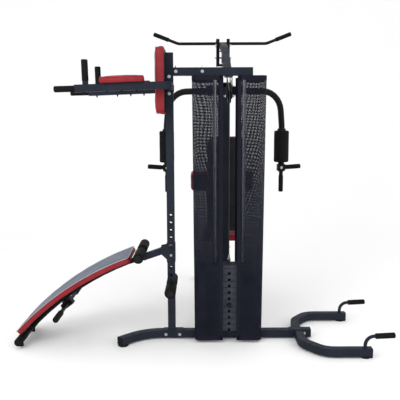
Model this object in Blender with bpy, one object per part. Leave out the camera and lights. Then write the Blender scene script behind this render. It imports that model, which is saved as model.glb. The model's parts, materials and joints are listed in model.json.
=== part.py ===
"""Multi station home gym: weight stack, press arms, lat bar, dip station, bench and push-up frame.

Metres, +Z up. X runs along the rear base beam, +Y from the weight stack to the seat. The origin is
the centre of the footprint on the floor. Places are written with y counted from the rear beam's
centre plane, and at() moves them into the model's frame.
"""

import math

import bmesh
import bpy
from mathutils import Vector

# Driving dimensions
REAR_Y = -0.561  # the rear beam's centre plane in the model's frame
TUBE = 0.050  # square tube, outer width
WALL = 0.002
GAP = 0.0004  # between pieces that touch
BEAM_BOTTOM = 0.011
BEAM_TOP = BEAM_BOTTOM + TUBE
BEAM_Z = BEAM_BOTTOM + TUBE / 2
POST_X = -0.195
POST_TOP = 1.886
POST_RIGHT = POST_X + TUBE / 2
POST_LEFT = POST_X - TUBE / 2
STACK_X = 0.190
TOP_Z = 1.773  # centre of the top beam
TOP_UNDER = TOP_Z - TUBE / 2
UPRIGHT_Y = 0.450
UPRIGHT_FRONT = UPRIGHT_Y + TUBE / 2
FRONT_FOOT_Y = 1.4534
FRONT_HALF = 0.235
HOLE_PITCH = 0.050
TOP_HOLE_Z = 0.848
POST_HOLE_R = 0.0095

# Weight stack
ROD_OFFSET = 0.095
ROD_R = 0.011
PLATE_SIZE = (0.320, 0.100, 0.041)
PLATE_PITCH = 0.043
PLATE_COUNT = 10
LIFTED_COUNT = 6
STACK_BOTTOM = BEAM_TOP + 0.0055
STEM_R = 0.010

# Press arms
PRESS_PIVOT = (0.530, 1.720)  # y, z
ARM_PIVOT_X = 0.110
ARM_PIVOT_Y = 0.620
ARM_Z = 1.6855
ARM_R = 0.024
ARM_ROLLER = (0.0585, 1.138, 1.396)  # radius, bottom, top
ARM_SPREAD = 0.453
ARM_ELBOW = (0.428, 0.765)
ARM_BOW_R = 0.170
ARM_Y = 0.800

# Dip station
DIP_Y = 0.220
DIP_TUBE = 0.045
DIP_LEFT = (-0.749, 1.656)
DIP_RIGHT = (POST_X, 1.676)

# Curved bench
BENCH_UP = (-0.458, 0.607)
BENCH_LOW = (-1.206, 0.109)
BENCH_R = 1.85
BENCH_PAD = 0.040
BENCH_HALF_WIDTH = 0.175
BENCH_TUBE_R = 0.0175
BENCH_HINGE = (-0.415, 0.552)
STRUT_START = (-0.232, 0.615)
BENCH_ROLLER = (-0.392, 0.606)
BENCH_FOOT = (-1.180, 0.048)
BENCH_FOOT_R = 0.024
ROLLER_BAR_Z = 0.369
ROLLER_BAR_R = 0.0125

# Lat bar, pulleys and cable
LAT_BAR = (1.200, 2.107)  # y, z
LAT_BAR_R = 0.0125
GROOVE_R = 0.036
PULLEY_R = 0.044
CABLE_R = 0.003
CABLE_LINE_R = GROOVE_R + CABLE_R + 0.0006
FRONT_PULLEY = (1.065, 1.975)  # y, z
REAR_PULLEY = (CABLE_LINE_R, 1.620)
LINK_TOP = 1.880

# Seat, leg developer and arm-curl pad
SEAT_TUBE_TOP = 0.540
SLEEVE_Y = 1.060
LEG_PIVOT = (1.130, 0.470)
CURL_TUBE = 0.038

# Push-up frame
U_HALF = 0.328
U_END = 1.060
U_APEX = 0.660
U_HANDLE_X = 1.022
U_HANDLE_R = 0.011

COLOURS = {  # colour, roughness, metallic
    "frame_paint": ((0.020, 0.023, 0.036), 0.45, 0.2),
    "black_paint": ((0.008, 0.008, 0.010), 0.40, 0.2),
    "chrome_steel": ((0.60, 0.62, 0.65), 0.20, 1.0),
    "cast_iron": ((0.045, 0.050, 0.062), 0.65, 0.1),
    "red_vinyl": ((0.42, 0.020, 0.030), 0.45, 0.0),
    "grey_vinyl": ((0.16, 0.20, 0.27), 0.45, 0.0),
    "foam": ((0.008, 0.008, 0.009), 0.85, 0.0),
    "rubber": ((0.010, 0.010, 0.011), 0.80, 0.0),
    "mesh_fabric": ((0.015, 0.015, 0.026), 0.80, 0.0),
    "black_plastic": ((0.010, 0.010, 0.012), 0.50, 0.0),
    "steel_cable": ((0.05, 0.05, 0.055), 0.40, 0.6),
}


def at(x, y, z):
    return Vector((x, REAR_Y + y, z))


def material(name):
    found = bpy.data.materials.get(name)
    if found:
        return found
    colour, roughness, metallic = COLOURS[name]
    made = bpy.data.materials.new(name)
    made.use_nodes = True
    shader = made.node_tree.nodes["Principled BSDF"]
    shader.inputs["Base Color"].default_value = (*colour, 1.0)
    shader.inputs["Roughness"].default_value = roughness
    shader.inputs["Metallic"].default_value = metallic
    return made


# Outlines and paths


def circle(radius, sides=12):
    step = 2 * math.pi / sides
    return [
        (radius * math.cos((i + 0.5) * step), radius * math.sin((i + 0.5) * step))
        for i in range(sides)
    ]


def rectangle(width, height):
    w, h = width / 2, height / 2
    return [(w, -h), (w, h), (-w, h), (-w, -h)]


def rounded(points, radius, steps=4):
    """The path through these corners, with each inner corner turned at this radius."""
    path = [points[0]]
    for before, corner, after in zip(points, points[1:], points[2:]):
        back, on = (before - corner).normalized(), (after - corner).normalized()
        half = back.angle(on) / 2
        reach = radius / math.tan(half)
        centre = corner + (back + on).normalized() * radius / math.sin(half)
        first = (corner + back * reach - centre).normalized()
        last = (corner + on * reach - centre).normalized()
        for i in range(steps + 1):
            path.append(centre + first.slerp(last, i / steps) * radius)
    return path + [points[-1]]


# Solids


def add_sweep(bm, path, outline, up=Vector((0, 0, 1)), inner=None):
    """Sweeps a closed outline along a path. An inner outline makes it a tube that is open at its ends."""
    rings, bores = [], []
    for i, point in enumerate(path):
        ahead = (path[min(i + 1, len(path) - 1)] - point).normalized()
        behind = (point - path[max(i - 1, 0)]).normalized()
        along = (ahead + behind).normalized()
        stretch = 1 / max(0.5, along.dot(ahead if ahead.length else behind))
        side = along.cross(up).normalized()
        lift = side.cross(along)
        turn = (ahead - behind)
        bend = turn.normalized() if turn.length > 1e-6 else None

        def place(u, v):
            offset = side * u + lift * v
            if bend:
                offset += bend * offset.dot(bend) * (stretch - 1)
            return bm.verts.new(point + offset)

        rings.append([place(u, v) for u, v in outline])
        if inner:
            bores.append([place(u, v) for u, v in inner])
    count = len(outline)
    for near, far in zip(rings, rings[1:]):
        for i in range(count):
            j = (i + 1) % count
            bm.faces.new((near[i], near[j], far[j], far[i]))
    if not inner:
        bm.faces.new(rings[0])
        bm.faces.new(rings[-1])
        return
    for near, far in zip(bores, bores[1:]):
        for i in range(count):
            j = (i + 1) % count
            bm.faces.new((near[i], near[j], far[j], far[i]))
    for ring, bore in ((rings[0], bores[0]), (rings[-1], bores[-1])):
        for i in range(count):
            j = (i + 1) % count
            bm.faces.new((ring[i], ring[j], bore[j], bore[i]))


def finish(name, bm, finish_name, pivot=None):
    """Makes the object, with its origin on its pivot or on the middle of its box."""
    bmesh.ops.recalc_face_normals(bm, faces=bm.faces)
    if pivot is None:
        lows = [min(v.co[k] for v in bm.verts) for k in range(3)]
        highs = [max(v.co[k] for v in bm.verts) for k in range(3)]
        pivot = Vector([(low + high) / 2 for low, high in zip(lows, highs)])
    for vert in bm.verts:
        vert.co -= pivot
    mesh = bpy.data.meshes.new(name)
    bm.to_mesh(mesh)
    bm.free()
    mesh.materials.append(material(finish_name))
    mesh.shade_smooth()
    mesh.set_sharp_from_angle(angle=math.radians(40))
    made = bpy.data.objects.new(name, mesh)
    made.location = pivot
    bpy.context.scene.collection.objects.link(made)
    return made


def swept(name, path, outline, finish_name, up=Vector((0, 0, 1)), inner=None, pivot=None):
    bm = bmesh.new()
    add_sweep(bm, path, outline, up, inner)
    return finish(name, bm, finish_name, pivot)


def rod(name, start, end, radius, finish_name, sides=12, pivot=None, bore=None):
    along = (end - start).normalized()
    up = Vector((0, 1, 0)) if abs(along.z) > 0.9 else Vector((0, 0, 1))
    inner = circle(bore, sides) if bore else None
    return swept(name, [start, end], circle(radius, sides), finish_name, up, inner, pivot)


def box(name, low, high, finish_name, pivot=None):
    middle_y, middle_z = (low.y + high.y) / 2, (low.z + high.z) / 2
    path = [Vector((low.x, middle_y, middle_z)), Vector((high.x, middle_y, middle_z))]
    outline = rectangle(high.y - low.y, high.z - low.z)
    return swept(name, path, outline, finish_name, pivot=pivot)


def block(name, centre, size, finish_name, pivot=None):
    half = Vector(size) / 2
    return box(name, centre - half, centre + half, finish_name, pivot)


def extruded(name, outline, axis, low, high, finish_name, pivot=None):
    """A flat outline given as (y, z) points for axis X or (x, z) points for axis Y."""
    bm = bmesh.new()

    def point(a, b, depth):
        return at(depth, a, b) if axis == "X" else at(a, depth, b)

    ends = [[bm.verts.new(point(a, b, depth)) for a, b in outline] for depth in (low, high)]
    for i in range(len(outline)):
        j = (i + 1) % len(outline)
        bm.faces.new((ends[0][i], ends[0][j], ends[1][j], ends[1][i]))
    bm.faces.new(ends[0])
    bm.faces.new(ends[1])
    return finish(name, bm, finish_name, pivot)


def combine(base, others, operation, solver="EXACT"):
    """Adds or cuts the other solids with Boolean modifiers and hides them as helpers."""
    for other in others:
        other.hide_render = True
        other.display_type = "WIRE"
        modifier = base.modifiers.new(operation.lower(), "BOOLEAN")
        modifier.operation = operation
        modifier.object = other
        modifier.solver = solver
    return base


def fuse(base, *others):
    return combine(base, others, "UNION")


def cut(base, *others):
    return combine(base, others, "DIFFERENCE")


def square_tube(
    name, points, bend_r=0.0, width=TUBE, up=Vector((0, 0, 1)), steps=4, finish_name="frame_paint"
):
    path = rounded(points, bend_r, steps) if bend_r else points
    bore = width - 2 * WALL
    return swept(name, path, rectangle(width, width), finish_name, up, rectangle(bore, bore))


# Floor frame


def rear_base_beam():
    bend_r, turn, tail = 0.305, math.radians(45), 0.085
    start_x, steps = -0.250, 6
    path = [at(U_APEX - TUBE / 2 - GAP, 0, BEAM_Z)]
    for i in range(steps + 1):
        angle = turn * i / steps
        path.append(at(start_x - bend_r * math.sin(angle), bend_r * (math.cos(angle) - 1), BEAM_Z))
    heading = Vector((-math.cos(turn), -math.sin(turn), 0))
    path.append(path[-1] + heading * tail)
    square_tube("rear_base_beam", path)
    foot_centre = path[-1] - heading * 0.026
    end = path[-1] + heading * (GAP + 0.004)
    foot("left_end_foot", path[-1] + heading * GAP, end, foot_centre)


def foot(name, cap_start, cap_end, foot_centre, radius=0.032):
    """An end cap with a plug inside the tube and, in one piece with the cap, a round foot below it."""
    heading = (cap_end - cap_start).normalized()
    cap = swept(name, [cap_start, cap_end], rectangle(TUBE + 0.002, TUBE + 0.002), "rubber")
    bore = TUBE - 2 * WALL - 0.001
    plug = swept(name + "_plug", [cap_start - heading * 0.018, cap_end], rectangle(bore, bore), "rubber")
    disc_low = Vector((foot_centre.x, foot_centre.y, 0))
    disc = rod(name + "_disc", disc_low, disc_low + Vector((0, 0, BEAM_BOTTOM - GAP)), radius, "rubber", 16)
    lip_low = cap_start + Vector((0, 0, 0.004 - BEAM_Z)) - heading * 0.010
    lip_high = cap_end + Vector((0, 0, 0.004 - BEAM_Z))
    lip = swept(name + "_lip", [lip_low, lip_high], rectangle(0.040, 0.006), "rubber")
    joint_low = cap_start + Vector((0, 0, 0.007 - BEAM_Z))
    joint = swept(
        name + "_joint", [joint_low, joint_low + heading * 0.0042], rectangle(0.040, 0.010), "rubber"
    )
    fuse(cap, plug, disc, lip, joint)


def stack_feet():
    for side, x in (("left", 0.034), ("right", 0.345)):
        rod(f"stack_foot_{side}", at(x, 0, 0), at(x, 0, BEAM_BOTTOM - GAP), 0.032, "rubber", 16)


def front_base():
    """The long base tube, welded to the cross tube that carries the front feet."""
    half = FRONT_HALF
    weld = 0.001
    cross = square_tube(
        "front_base", [at(STACK_X - half, FRONT_FOOT_Y, BEAM_Z), at(STACK_X + half, FRONT_FOOT_Y, BEAM_Z)]
    )
    long_end = FRONT_FOOT_Y - TUBE / 2 + weld
    long_tube = square_tube(
        "long_tube", [at(STACK_X, TUBE / 2 + GAP, BEAM_Z), at(STACK_X, long_end, BEAM_Z)]
    )
    fuse(cross, long_tube)
    for side, sign in (("left", -1), ("right", 1)):
        face = STACK_X + sign * (half + GAP)
        foot(
            f"front_foot_{side}",
            at(face, FRONT_FOOT_Y, BEAM_Z),
            at(face + sign * 0.004, FRONT_FOOT_Y, BEAM_Z),
            at(face - sign * 0.026, FRONT_FOOT_Y, 0),
            0.024,
        )


# Uprights and top


def side_post():
    post = square_tube(
        "side_post", [at(POST_X, 0, BEAM_TOP + GAP), at(POST_X, 0, POST_TOP)], up=Vector((0, 1, 0))
    )
    heights = [TOP_HOLE_Z - HOLE_PITCH * i for i in range(9)]
    holes = [
        rod(f"post_hole_{i + 1}", at(POST_X, -0.04, z), at(POST_X, 0.04, z), POST_HOLE_R, "black_paint", 10)
        for i, z in enumerate(heights)
    ]
    bar_hole = rod(
        "post_bar_hole", at(
            POST_X, -0.04, ROLLER_BAR_Z
        ), at(POST_X, 0.04, ROLLER_BAR_Z), 0.0135, "black_paint"
    )
    cut(post, *holes, bar_hole)


def post_foot_bracket():
    """A saddle over the beam with a slot for the post."""
    low, high = -0.250, -0.118
    thick = 0.003
    reach = TUBE / 2 + GAP
    saddle = box(
        "post_foot_bracket",
        at(low, -reach - thick, 0.016),
        at(high, reach + thick, BEAM_TOP + GAP + thick),
        "frame_paint",
    )
    beam = box(
        "bracket_beam_space",
        at(low - 0.01, -reach, 0),
        at(high + 0.01, reach, BEAM_TOP + GAP),
        "frame_paint",
    )
    post = box(
        "bracket_post_space",
        at(POST_LEFT - GAP, -reach, 0.050),
        at(POST_RIGHT + GAP, reach, 0.080),
        "frame_paint",
    )
    cut(saddle, beam, post)


def boom_height(y):
    """Centre of the boom's front stretch."""
    return 2.000 + (y - 0.720) * (0.085 / 0.430)


def top_frame():
    square_tube("top_beam", [at(POST_RIGHT + GAP, 0, TOP_Z), at(0.333, 0, TOP_Z)])
    corners = [
        at(STACK_X, TUBE / 2 + GAP, TOP_Z),
        at(STACK_X, 0.200, TOP_Z),
        at(STACK_X, 0.720, 2.000),
        at(STACK_X, 1.150, boom_height(1.150)),
    ]
    square_tube("boom", corners, 0.150, steps=3)
    along = (corners[-1] - corners[-2]).normalized()
    face = corners[-1] + along * GAP
    bore = TUBE - 2 * WALL - 0.001
    cap = swept(
        "boom_end_cap", [face, face + along * 0.012], rectangle(TUBE + 0.002, TUBE + 0.002), "black_plastic"
    )
    plug = swept(
        "boom_plug", [face - along * 0.020, face + along * 0.006], rectangle(bore, bore), "black_plastic"
    )
    fuse(cap, plug)


def front_upright():
    """The upright, with two cheeks that hold the boom and a fork with the press frame's axle."""
    top = 1.700
    upright = square_tube(
        "front_upright",
        [at(STACK_X, UPRIGHT_Y, BEAM_TOP + GAP), at(STACK_X, UPRIGHT_Y, top)],
        up=Vector((0, 1, 0)),
    )
    pieces = []
    inner = TUBE / 2 + GAP
    for side, sign in (("left", -1), ("right", 1)):
        cheek_x = sorted((STACK_X + sign * (inner - 0.0015), STACK_X + sign * (inner + 0.003)))
        lower = box(
            f"cheek_{side}", at(cheek_x[0], 0.420, 1.640), at(cheek_x[1], 0.480, 1.705), "frame_paint"
        )
        outer_x = sorted((STACK_X + sign * inner, STACK_X + sign * (inner + 0.003)))
        upper = box(
            f"cheek_top_{side}", at(outer_x[0], 0.420, 1.700), at(outer_x[1], 0.480, 1.905), "frame_paint"
        )
        ear_x = sorted((STACK_X + sign * 0.030, STACK_X + sign * 0.036))
        ear = box(
            f"press_ear_{side}", at(ear_x[0], 0.470, 1.695), at(ear_x[1], 0.548, 1.745), "frame_paint"
        )
        spread_x = sorted((STACK_X + sign * 0.024, STACK_X + sign * 0.036))
        spread = box(
            f"press_ear_root_{side}",
            at(spread_x[0], 0.464, 1.680),
            at(spread_x[1], 0.482, 1.720),
            "frame_paint",
        )
        pieces += [lower, upper, ear, spread]
    y, z = PRESS_PIVOT
    axle = rod("press_axle", at(STACK_X - 0.044, y, z), at(STACK_X + 0.044, y, z), 0.008, "chrome_steel")
    fuse(upright, *pieces, axle)


def lat_bar_rack():
    """Two strips beside the boom with hooks in front for the bar, and the high pulley's axle between them."""
    half, thick = 0.052, 0.006
    low, top = 1.905, LAT_BAR[1] + 0.018
    back, front = 1.045, 1.085
    bar_y, bar_z = LAT_BAR
    seat = bar_z - LAT_BAR_R - GAP
    hook = [
        (back, low),
        (front, low),
        (front, seat - 0.030),
        (bar_y + 0.026, seat - 0.014),
        (bar_y + 0.026, top),
        (bar_y + LAT_BAR_R + 0.003, top),
        (bar_y + LAT_BAR_R + 0.003, seat),
        (bar_y - LAT_BAR_R - 0.003, seat),
        (bar_y - LAT_BAR_R - 0.003, top),
        (back, top),
    ]
    strips = [
        extruded(
            f"rack_strip_{side}",
            hook,
            "X",
            STACK_X + sign * half - thick / 2,
            STACK_X + sign * half + thick / 2,
            "black_paint",
        )
        for side, sign in (("left", -1), ("right", 1))
    ]
    under = boom_height(back) - TUBE / 2 - 0.009
    flanges = [
        block(
            f"rack_flange_{side}",
            at(STACK_X + sign * 0.042, back + 0.002, (low + top) / 2),
            (0.026, 0.004, top - low),
            "black_paint",
        )
        for side, sign in (("left", -1), ("right", 1))
    ]
    y, z = FRONT_PULLEY
    pieces = [
        box(
            "rack_tie_low",
            at(STACK_X - half, back, low),
            at(STACK_X + half, back + 0.006, low + 0.020),
            "black_paint",
        ),
        box(
            "rack_tie_high",
            at(STACK_X - half, back, under - 0.006),
            at(STACK_X + half, back + 0.030, under),
            "black_paint",
        ),
        rod("rack_axle", at(STACK_X - half, y, z), at(STACK_X + half, y, z), 0.006, "chrome_steel"),
    ]
    rack = strips[0]
    rack.name = "lat_bar_rack"
    fuse(rack, *pieces, *flanges, strips[1])


# Weight stack


def rod_holes(name, low, high):
    return [
        rod(
            f"{name}_rod_hole_{side}",
            at(STACK_X + sign * ROD_OFFSET, 0, low),
            at(STACK_X + sign * ROD_OFFSET, 0, high),
            ROD_R + 0.0015,
            "cast_iron",
            10,
        )
        for side, sign in (("left", -1), ("right", 1))
    ]


def plate_bottom(number):
    return STACK_BOTTOM + number * PLATE_PITCH


def plate_pile(name, first, count):
    """Plates that lie on raised bosses, with a slot for the selector pin in each rear face."""
    width, depth, thick = PLATE_SIZE
    pile, others = None, []
    for number in range(first, first + count):
        low = plate_bottom(number)
        plate = block(
            f"{name}_{number + 1}", at(STACK_X, 0, low + thick / 2), PLATE_SIZE, "cast_iron")
        slot = box(
            f"{name}_slot_{number + 1}",
            at(STACK_X - 0.009, -depth, low - 0.001),
            at(STACK_X + 0.009, -STEM_R, low + 0.017),
            "cast_iron",
        )
        cut(plate, slot)
        if pile is None:
            pile = plate
        else:
            others.append(plate)
    bosses = [
        rod(
            f"{name}_boss_{number + 1}",
            at(STACK_X, 0.020, plate_bottom(number) - 0.006),
            at(STACK_X, 0.020, plate_bottom(number) + 0.004),
            0.026,
            "cast_iron",
        )
        for number in range(first + 1, first + count)
    ]
    fuse(pile, *others, *bosses)
    pile.name = name
    low, high = plate_bottom(first) - 0.01, plate_bottom(first + count) + 0.01
    stem_hole = rod(
        f"{name}_stem_hole", at(STACK_X, 0, low), at(STACK_X, 0, high), STEM_R + 0.002, "cast_iron", 10
    )
    cut(pile, *rod_holes(name, low, high), stem_hole)


def weight_stack():
    for side, sign in (("left", -1), ("right", 1)):
        x = STACK_X + sign * ROD_OFFSET
        rod(f"guide_rod_{side}", at(x, 0, BEAM_TOP + GAP), at(x, 0, TOP_UNDER - GAP), ROD_R, "chrome_steel")
    resting = PLATE_COUNT - LIFTED_COUNT
    plate_pile("resting_plates", 0, resting)
    plate_pile("lifted_plates", resting, LIFTED_COUNT)
    head_low = plate_bottom(PLATE_COUNT)
    head = box(
        "head_plate", at(STACK_X - 0.160, -0.050, head_low), at(
            STACK_X + 0.160, 0.050, head_low + 0.022
        ), "cast_iron"
    )
    cut(head, *rod_holes("head", head_low - 0.01, head_low + 0.05))
    stem = rod(
        "selector_stem",
        at(STACK_X, 0, STACK_BOTTOM + 0.006),
        at(STACK_X, 0, head_low + 0.055),
        STEM_R,
        "chrome_steel",
    )
    fuse(head, stem)


def selector_pin():
    z = plate_bottom(PLATE_COUNT - LIFTED_COUNT) + 0.0085
    pin = rod(
        "selector_pin", at(STACK_X, -STEM_R - 0.0008, z), at(STACK_X, -0.078, z), 0.005, "black_plastic", 8
    )
    knob = rod("selector_knob", at(STACK_X, -0.0515, z), at(STACK_X, -0.082, z), 0.014, "black_plastic")
    fuse(pin, knob)


def shroud():
    """Two C-shaped panels round the stack with a slit in the middle, drawn in a little towards the floor."""
    back, front, thick, corner = -0.100, 0.120, 0.003, 0.035
    top, bottom = 1.742, 0.020
    for side, slit, outer_top, outer_low in (
        ("left", 0.146, -0.052, -0.041),
        ("right", 0.236, 0.421, 0.405),
    ):
        bm = bmesh.new()
        levels = []
        for z, outer in ((bottom, outer_low), (top, outer_top)):
            corners = [at(slit, back, z), at(outer, back, z), at(outer, front, z), at(slit, front, z)]
            line = rounded(corners, corner, 3)
            inward = rounded(
                [
                    at(slit, back + thick, z),
                    at(outer + math.copysign(thick, slit - outer), back + thick, z),
                    at(outer + math.copysign(thick, slit - outer), front - thick, z),
                    at(slit, front - thick, z),
                ],
                corner - thick,
                3,
            )
            levels.append([bm.verts.new(p) for p in line + inward[::-1]])
        count = len(levels[0])
        for i in range(count):
            j = (i + 1) % count
            bm.faces.new((levels[0][i], levels[0][j], levels[1][j], levels[1][i]))
        half = count // 2
        for level in levels:
            for i in range(half - 1):
                bm.faces.new((level[i], level[i + 1], level[count - 2 - i], level[count - 1 - i]))
        panel = finish(f"shroud_panel_{side}", bm, "mesh_fabric")
        space = box(
            f"shroud_beam_space_{side}", at(-0.3, -0.060, 0), at(0.6, 0.3, BEAM_TOP + 0.006), "mesh_fabric"
        )
        combine(panel, [space], "DIFFERENCE", "MANIFOLD")


# Press station


def press_yoke():
    y, z = PRESS_PIVOT
    pivot = at(STACK_X, y, z)
    hub = rod(
        "press_yoke", at(STACK_X - 0.029, y, z), at(STACK_X + 0.029, y, z), 0.022, "black_paint", 16, pivot
    )
    body = box(
        "yoke_body", at(STACK_X - 0.075, 0.556, 1.6550), at(STACK_X + 0.075, 0.640, 1.7150), "black_paint"
    )
    low, high = 1.6530, 1.7180
    plates = [
        box(
            f"yoke_plate_{level}",
            at(STACK_X - 0.138, 0.592, bottom),
            at(STACK_X + 0.138, 0.648, bottom + 0.006),
            "black_paint",
        )
        for level, bottom in (("low", low), ("high", high - 0.006))
    ]
    neck = box(
        "yoke_neck",
        at(STACK_X - 0.029, y - 0.010, 1.690),
        at(STACK_X + 0.029, 0.560, 1.7080),
        "black_paint",
    )
    pins = [
        rod(
            f"arm_pin_{side}",
            at(STACK_X + sign * ARM_PIVOT_X, ARM_PIVOT_Y, low - 0.006),
            at(STACK_X + sign * ARM_PIVOT_X, ARM_PIVOT_Y, high + 0.006),
            0.008,
            "chrome_steel",
        )
        for side, sign in (("left", -1), ("right", 1))
    ]
    fuse(hub, body, neck, *plates, *pins)
    bore = rod("yoke_bore", at(STACK_X - 0.05, y, z), at(STACK_X + 0.05, y, z), 0.0088, "black_paint")
    cut(hub, bore)


def butterfly_arms():
    for side, sign in (("left", -1), ("right", 1)):
        pivot = at(STACK_X + sign * ARM_PIVOT_X, ARM_PIVOT_Y, ARM_Z)
        arm_x = STACK_X + sign * ARM_SPREAD
        radius, bottom, top = ARM_ROLLER
        corners = [
            pivot + Vector((sign * 0.012, 0.002, 0)),
            at(STACK_X + sign * ARM_ELBOW[0], ARM_ELBOW[1], ARM_Z),
            at(arm_x, ARM_Y, top + 0.030),
            at(arm_x, ARM_Y, bottom - 0.075),
        ]
        arm = swept(
            f"butterfly_arm_{side}",
            rounded(corners, ARM_BOW_R, 7),
            circle(ARM_R),
            "black_paint",
            Vector((0, 1, 0.2)),
            pivot=pivot,
        )
        hub = rod(
            f"arm_hub_{side}",
            pivot - Vector((0, 0, 0.0255)),
            pivot + Vector((0, 0, 0.0255)),
            0.0260,
            "black_paint",
            16,
        )
        clamp = block(
            f"arm_clamp_{side}", at(arm_x, ARM_Y, bottom - 0.042), (0.062, 0.062, 0.050), "black_paint"
        )
        grip_down = rod(
            f"arm_grip_down_{side}", at(
                arm_x, ARM_Y, bottom - 0.060
            ), at(arm_x, ARM_Y, bottom - 0.235), 0.0155, "foam", 12
        )
        grip_out = rod(
            f"arm_grip_out_{side}",
            at(arm_x, ARM_Y, bottom - 0.042),
            at(arm_x + sign * 0.152, ARM_Y, bottom - 0.032),
            0.0155,
            "foam",
            12,
        )
        fuse(arm, hub, clamp, grip_down, grip_out)
        bore = rod(
            f"arm_bore_{side}",
            pivot - Vector((0, 0, 0.05)),
            pivot + Vector((0, 0, 0.05)),
            0.0088,
            "black_paint",
        )
        cut(arm, bore)
        rod(
            f"arm_roller_{side}", at(arm_x, ARM_Y, bottom), at(
                arm_x, ARM_Y, top - 0.010
            ), radius, "foam", 20, bore=ARM_R + 0.0012
        )


# Lat bar, pulleys and cable


def lat_bar():
    y, z = LAT_BAR
    half, bend, rise = 0.575, 0.370, 0.078
    corners = [
        at(STACK_X - half, y, z + rise),
        at(STACK_X - bend, y, z),
        at(STACK_X + bend, y, z),
        at(STACK_X + half, y, z + rise),
    ]
    swept("lat_bar", rounded(corners, 0.080, 3), circle(LAT_BAR_R), "black_paint", Vector((0, 1, 0)))


def pulley(name, y, z):
    """A grooved wheel turned about X, with a bore for its axle."""
    half = 0.011
    profile = [
        (-half, PULLEY_R),
        (-0.0065, PULLEY_R),
        (-0.0035, GROOVE_R),
        (0.0035, GROOVE_R),
        (0.0065, PULLEY_R),
        (half, PULLEY_R),
        (half, 0.0068),
        (-half, 0.0068),
    ]
    bm = bmesh.new()
    steps = 18
    rings = []
    for i in range(steps):
        angle = 2 * math.pi * i / steps
        ring = []
        for x, r in profile:
            ring.append(bm.verts.new(at(STACK_X + x, y + r * math.cos(angle), z + r * math.sin(angle))))
        rings.append(ring)
    for i in range(steps):
        near, far = rings[i], rings[(i + 1) % steps]
        for j in range(len(profile)):
            k = (j + 1) % len(profile)
            bm.faces.new((near[j], near[k], far[k], far[j]))
    finish(name, bm, "black_plastic", at(STACK_X, y, z))


def pulleys_and_cable():
    rear_y, rear_z = REAR_PULLEY
    front_y, front_z = FRONT_PULLEY
    pulley("rear_pulley", rear_y, rear_z)
    pulley("front_pulley", front_y, front_z)
    slope = math.atan2(front_z - rear_z, front_y - rear_y)
    path = [at(STACK_X, rear_y - CABLE_LINE_R, plate_bottom(PLATE_COUNT) + 0.056)]
    leave = math.pi / 2 + slope
    path += wrap(rear_y, rear_z, math.pi, leave)
    path += wrap(front_y, front_z, leave, 0)
    path.append(at(STACK_X, front_y + CABLE_LINE_R, LINK_TOP + GAP))
    swept("cable", path, circle(CABLE_R, 8), "steel_cable", Vector((1, 0, 0)))
    y = front_y + CABLE_LINE_R
    link = rod(
        "lat_link", at(STACK_X, y, LINK_TOP), at(STACK_X, y, LINK_TOP - 0.030), 0.008, "chrome_steel"
    )
    hook = rod(
        "lat_link_hook",
        at(STACK_X, y, LINK_TOP - 0.020),
        at(STACK_X, y, LINK_TOP - 0.065),
        0.005,
        "chrome_steel",
    )
    ball = rod(
        "lat_link_end",
        at(STACK_X, y, LINK_TOP - 0.060),
        at(STACK_X, y, LINK_TOP - 0.080),
        0.011,
        "chrome_steel",
    )
    fuse(link, hook, ball)


def wrap(y, z, start, end, steps=7):
    points = []
    for i in range(steps + 1):
        angle = start + (end - start) * i / steps
        points.append(at(STACK_X, y + CABLE_LINE_R * math.cos(angle), z + CABLE_LINE_R * math.sin(angle)))
    return points


def pulley_bracket():
    """Two ears below the top beam with the rear pulley's axle, made in one piece with it."""
    y, z = REAR_PULLEY
    beam = bpy.data.objects["top_beam"]
    below, back, front = z - 0.016, -0.010, y + 0.016
    outline = [
        (back, TOP_UNDER + 0.001),
        (0.020, TOP_UNDER + 0.001),
        (0.024, TOP_UNDER - 0.010),
        (front, z + 0.030),
        (front, below),
        (back, below),
    ]
    ears = []
    for side, sign in (("left", -1), ("right", 1)):
        x = STACK_X + sign * 0.016
        ears.append(extruded(f"pulley_ear_{side}", outline, "X", x - 0.002, x + 0.002, "frame_paint"))
    axle = rod(
        "rear_pulley_axle", at(STACK_X - 0.022, y, z), at(STACK_X + 0.022, y, z), 0.006, "chrome_steel"
    )
    fuse(beam, *ears, axle)


# Dip station


def dip_arms():
    (left_x, left_z), (right_x, right_z) = DIP_LEFT, DIP_RIGHT
    for side, sign in (("near", -1), ("far", 1)):
        y = sign * DIP_Y
        face = sign * (TUBE / 2 + GAP)
        corners = [
            at(left_x, y, left_z), at(right_x, y, right_z), at(right_x, face + sign * 0.004, right_z)
        ]
        arm = swept(
            f"dip_arm_{side}", rounded(corners, 0.050, 5), rectangle(DIP_TUBE, DIP_TUBE), "frame_paint"
        )
        plate_y = sorted((face, face + sign * 0.006))
        plate = box(
            f"dip_plate_{side}",
            at(POST_X - 0.024, plate_y[0], 1.615),
            at(POST_X + 0.024, plate_y[1], 1.760),
            "frame_paint",
        )
        grip = rod(
            f"dip_grip_{side}", at(left_x + 0.005, y, left_z), at(-0.877, y, left_z - 0.003), 0.0170, "foam"
        )
        upright = rod(f"dip_upright_{side}", at(-0.688, y, left_z), at(-0.691, y, 1.827), 0.0180, "foam")
        fuse(arm, plate, grip, upright)


def dip_height(x):
    (left_x, left_z), (right_x, right_z) = DIP_LEFT, DIP_RIGHT
    return left_z + (right_z - left_z) * (x - left_x) / (right_x - left_x)


def dip_pads():
    low_x, high_x = -0.603, -0.333
    thick = 0.040
    for side, sign in (("near", -1), ("far", 1)):
        lift = DIP_TUBE / 2 + 0.0008 + thick / 2
        path = [at(x, sign * DIP_Y, dip_height(x) + lift) for x in (low_x, high_x)]
        swept(f"arm_pad_{side}", path, rectangle(0.100, thick), "red_vinyl")
    box(
        "back_pad",
        at(POST_LEFT - GAP - 0.059, -0.140, 1.506),
        at(POST_LEFT - GAP, 0.140, 1.921),
        "red_vinyl",
    )


# Curved bench


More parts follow.
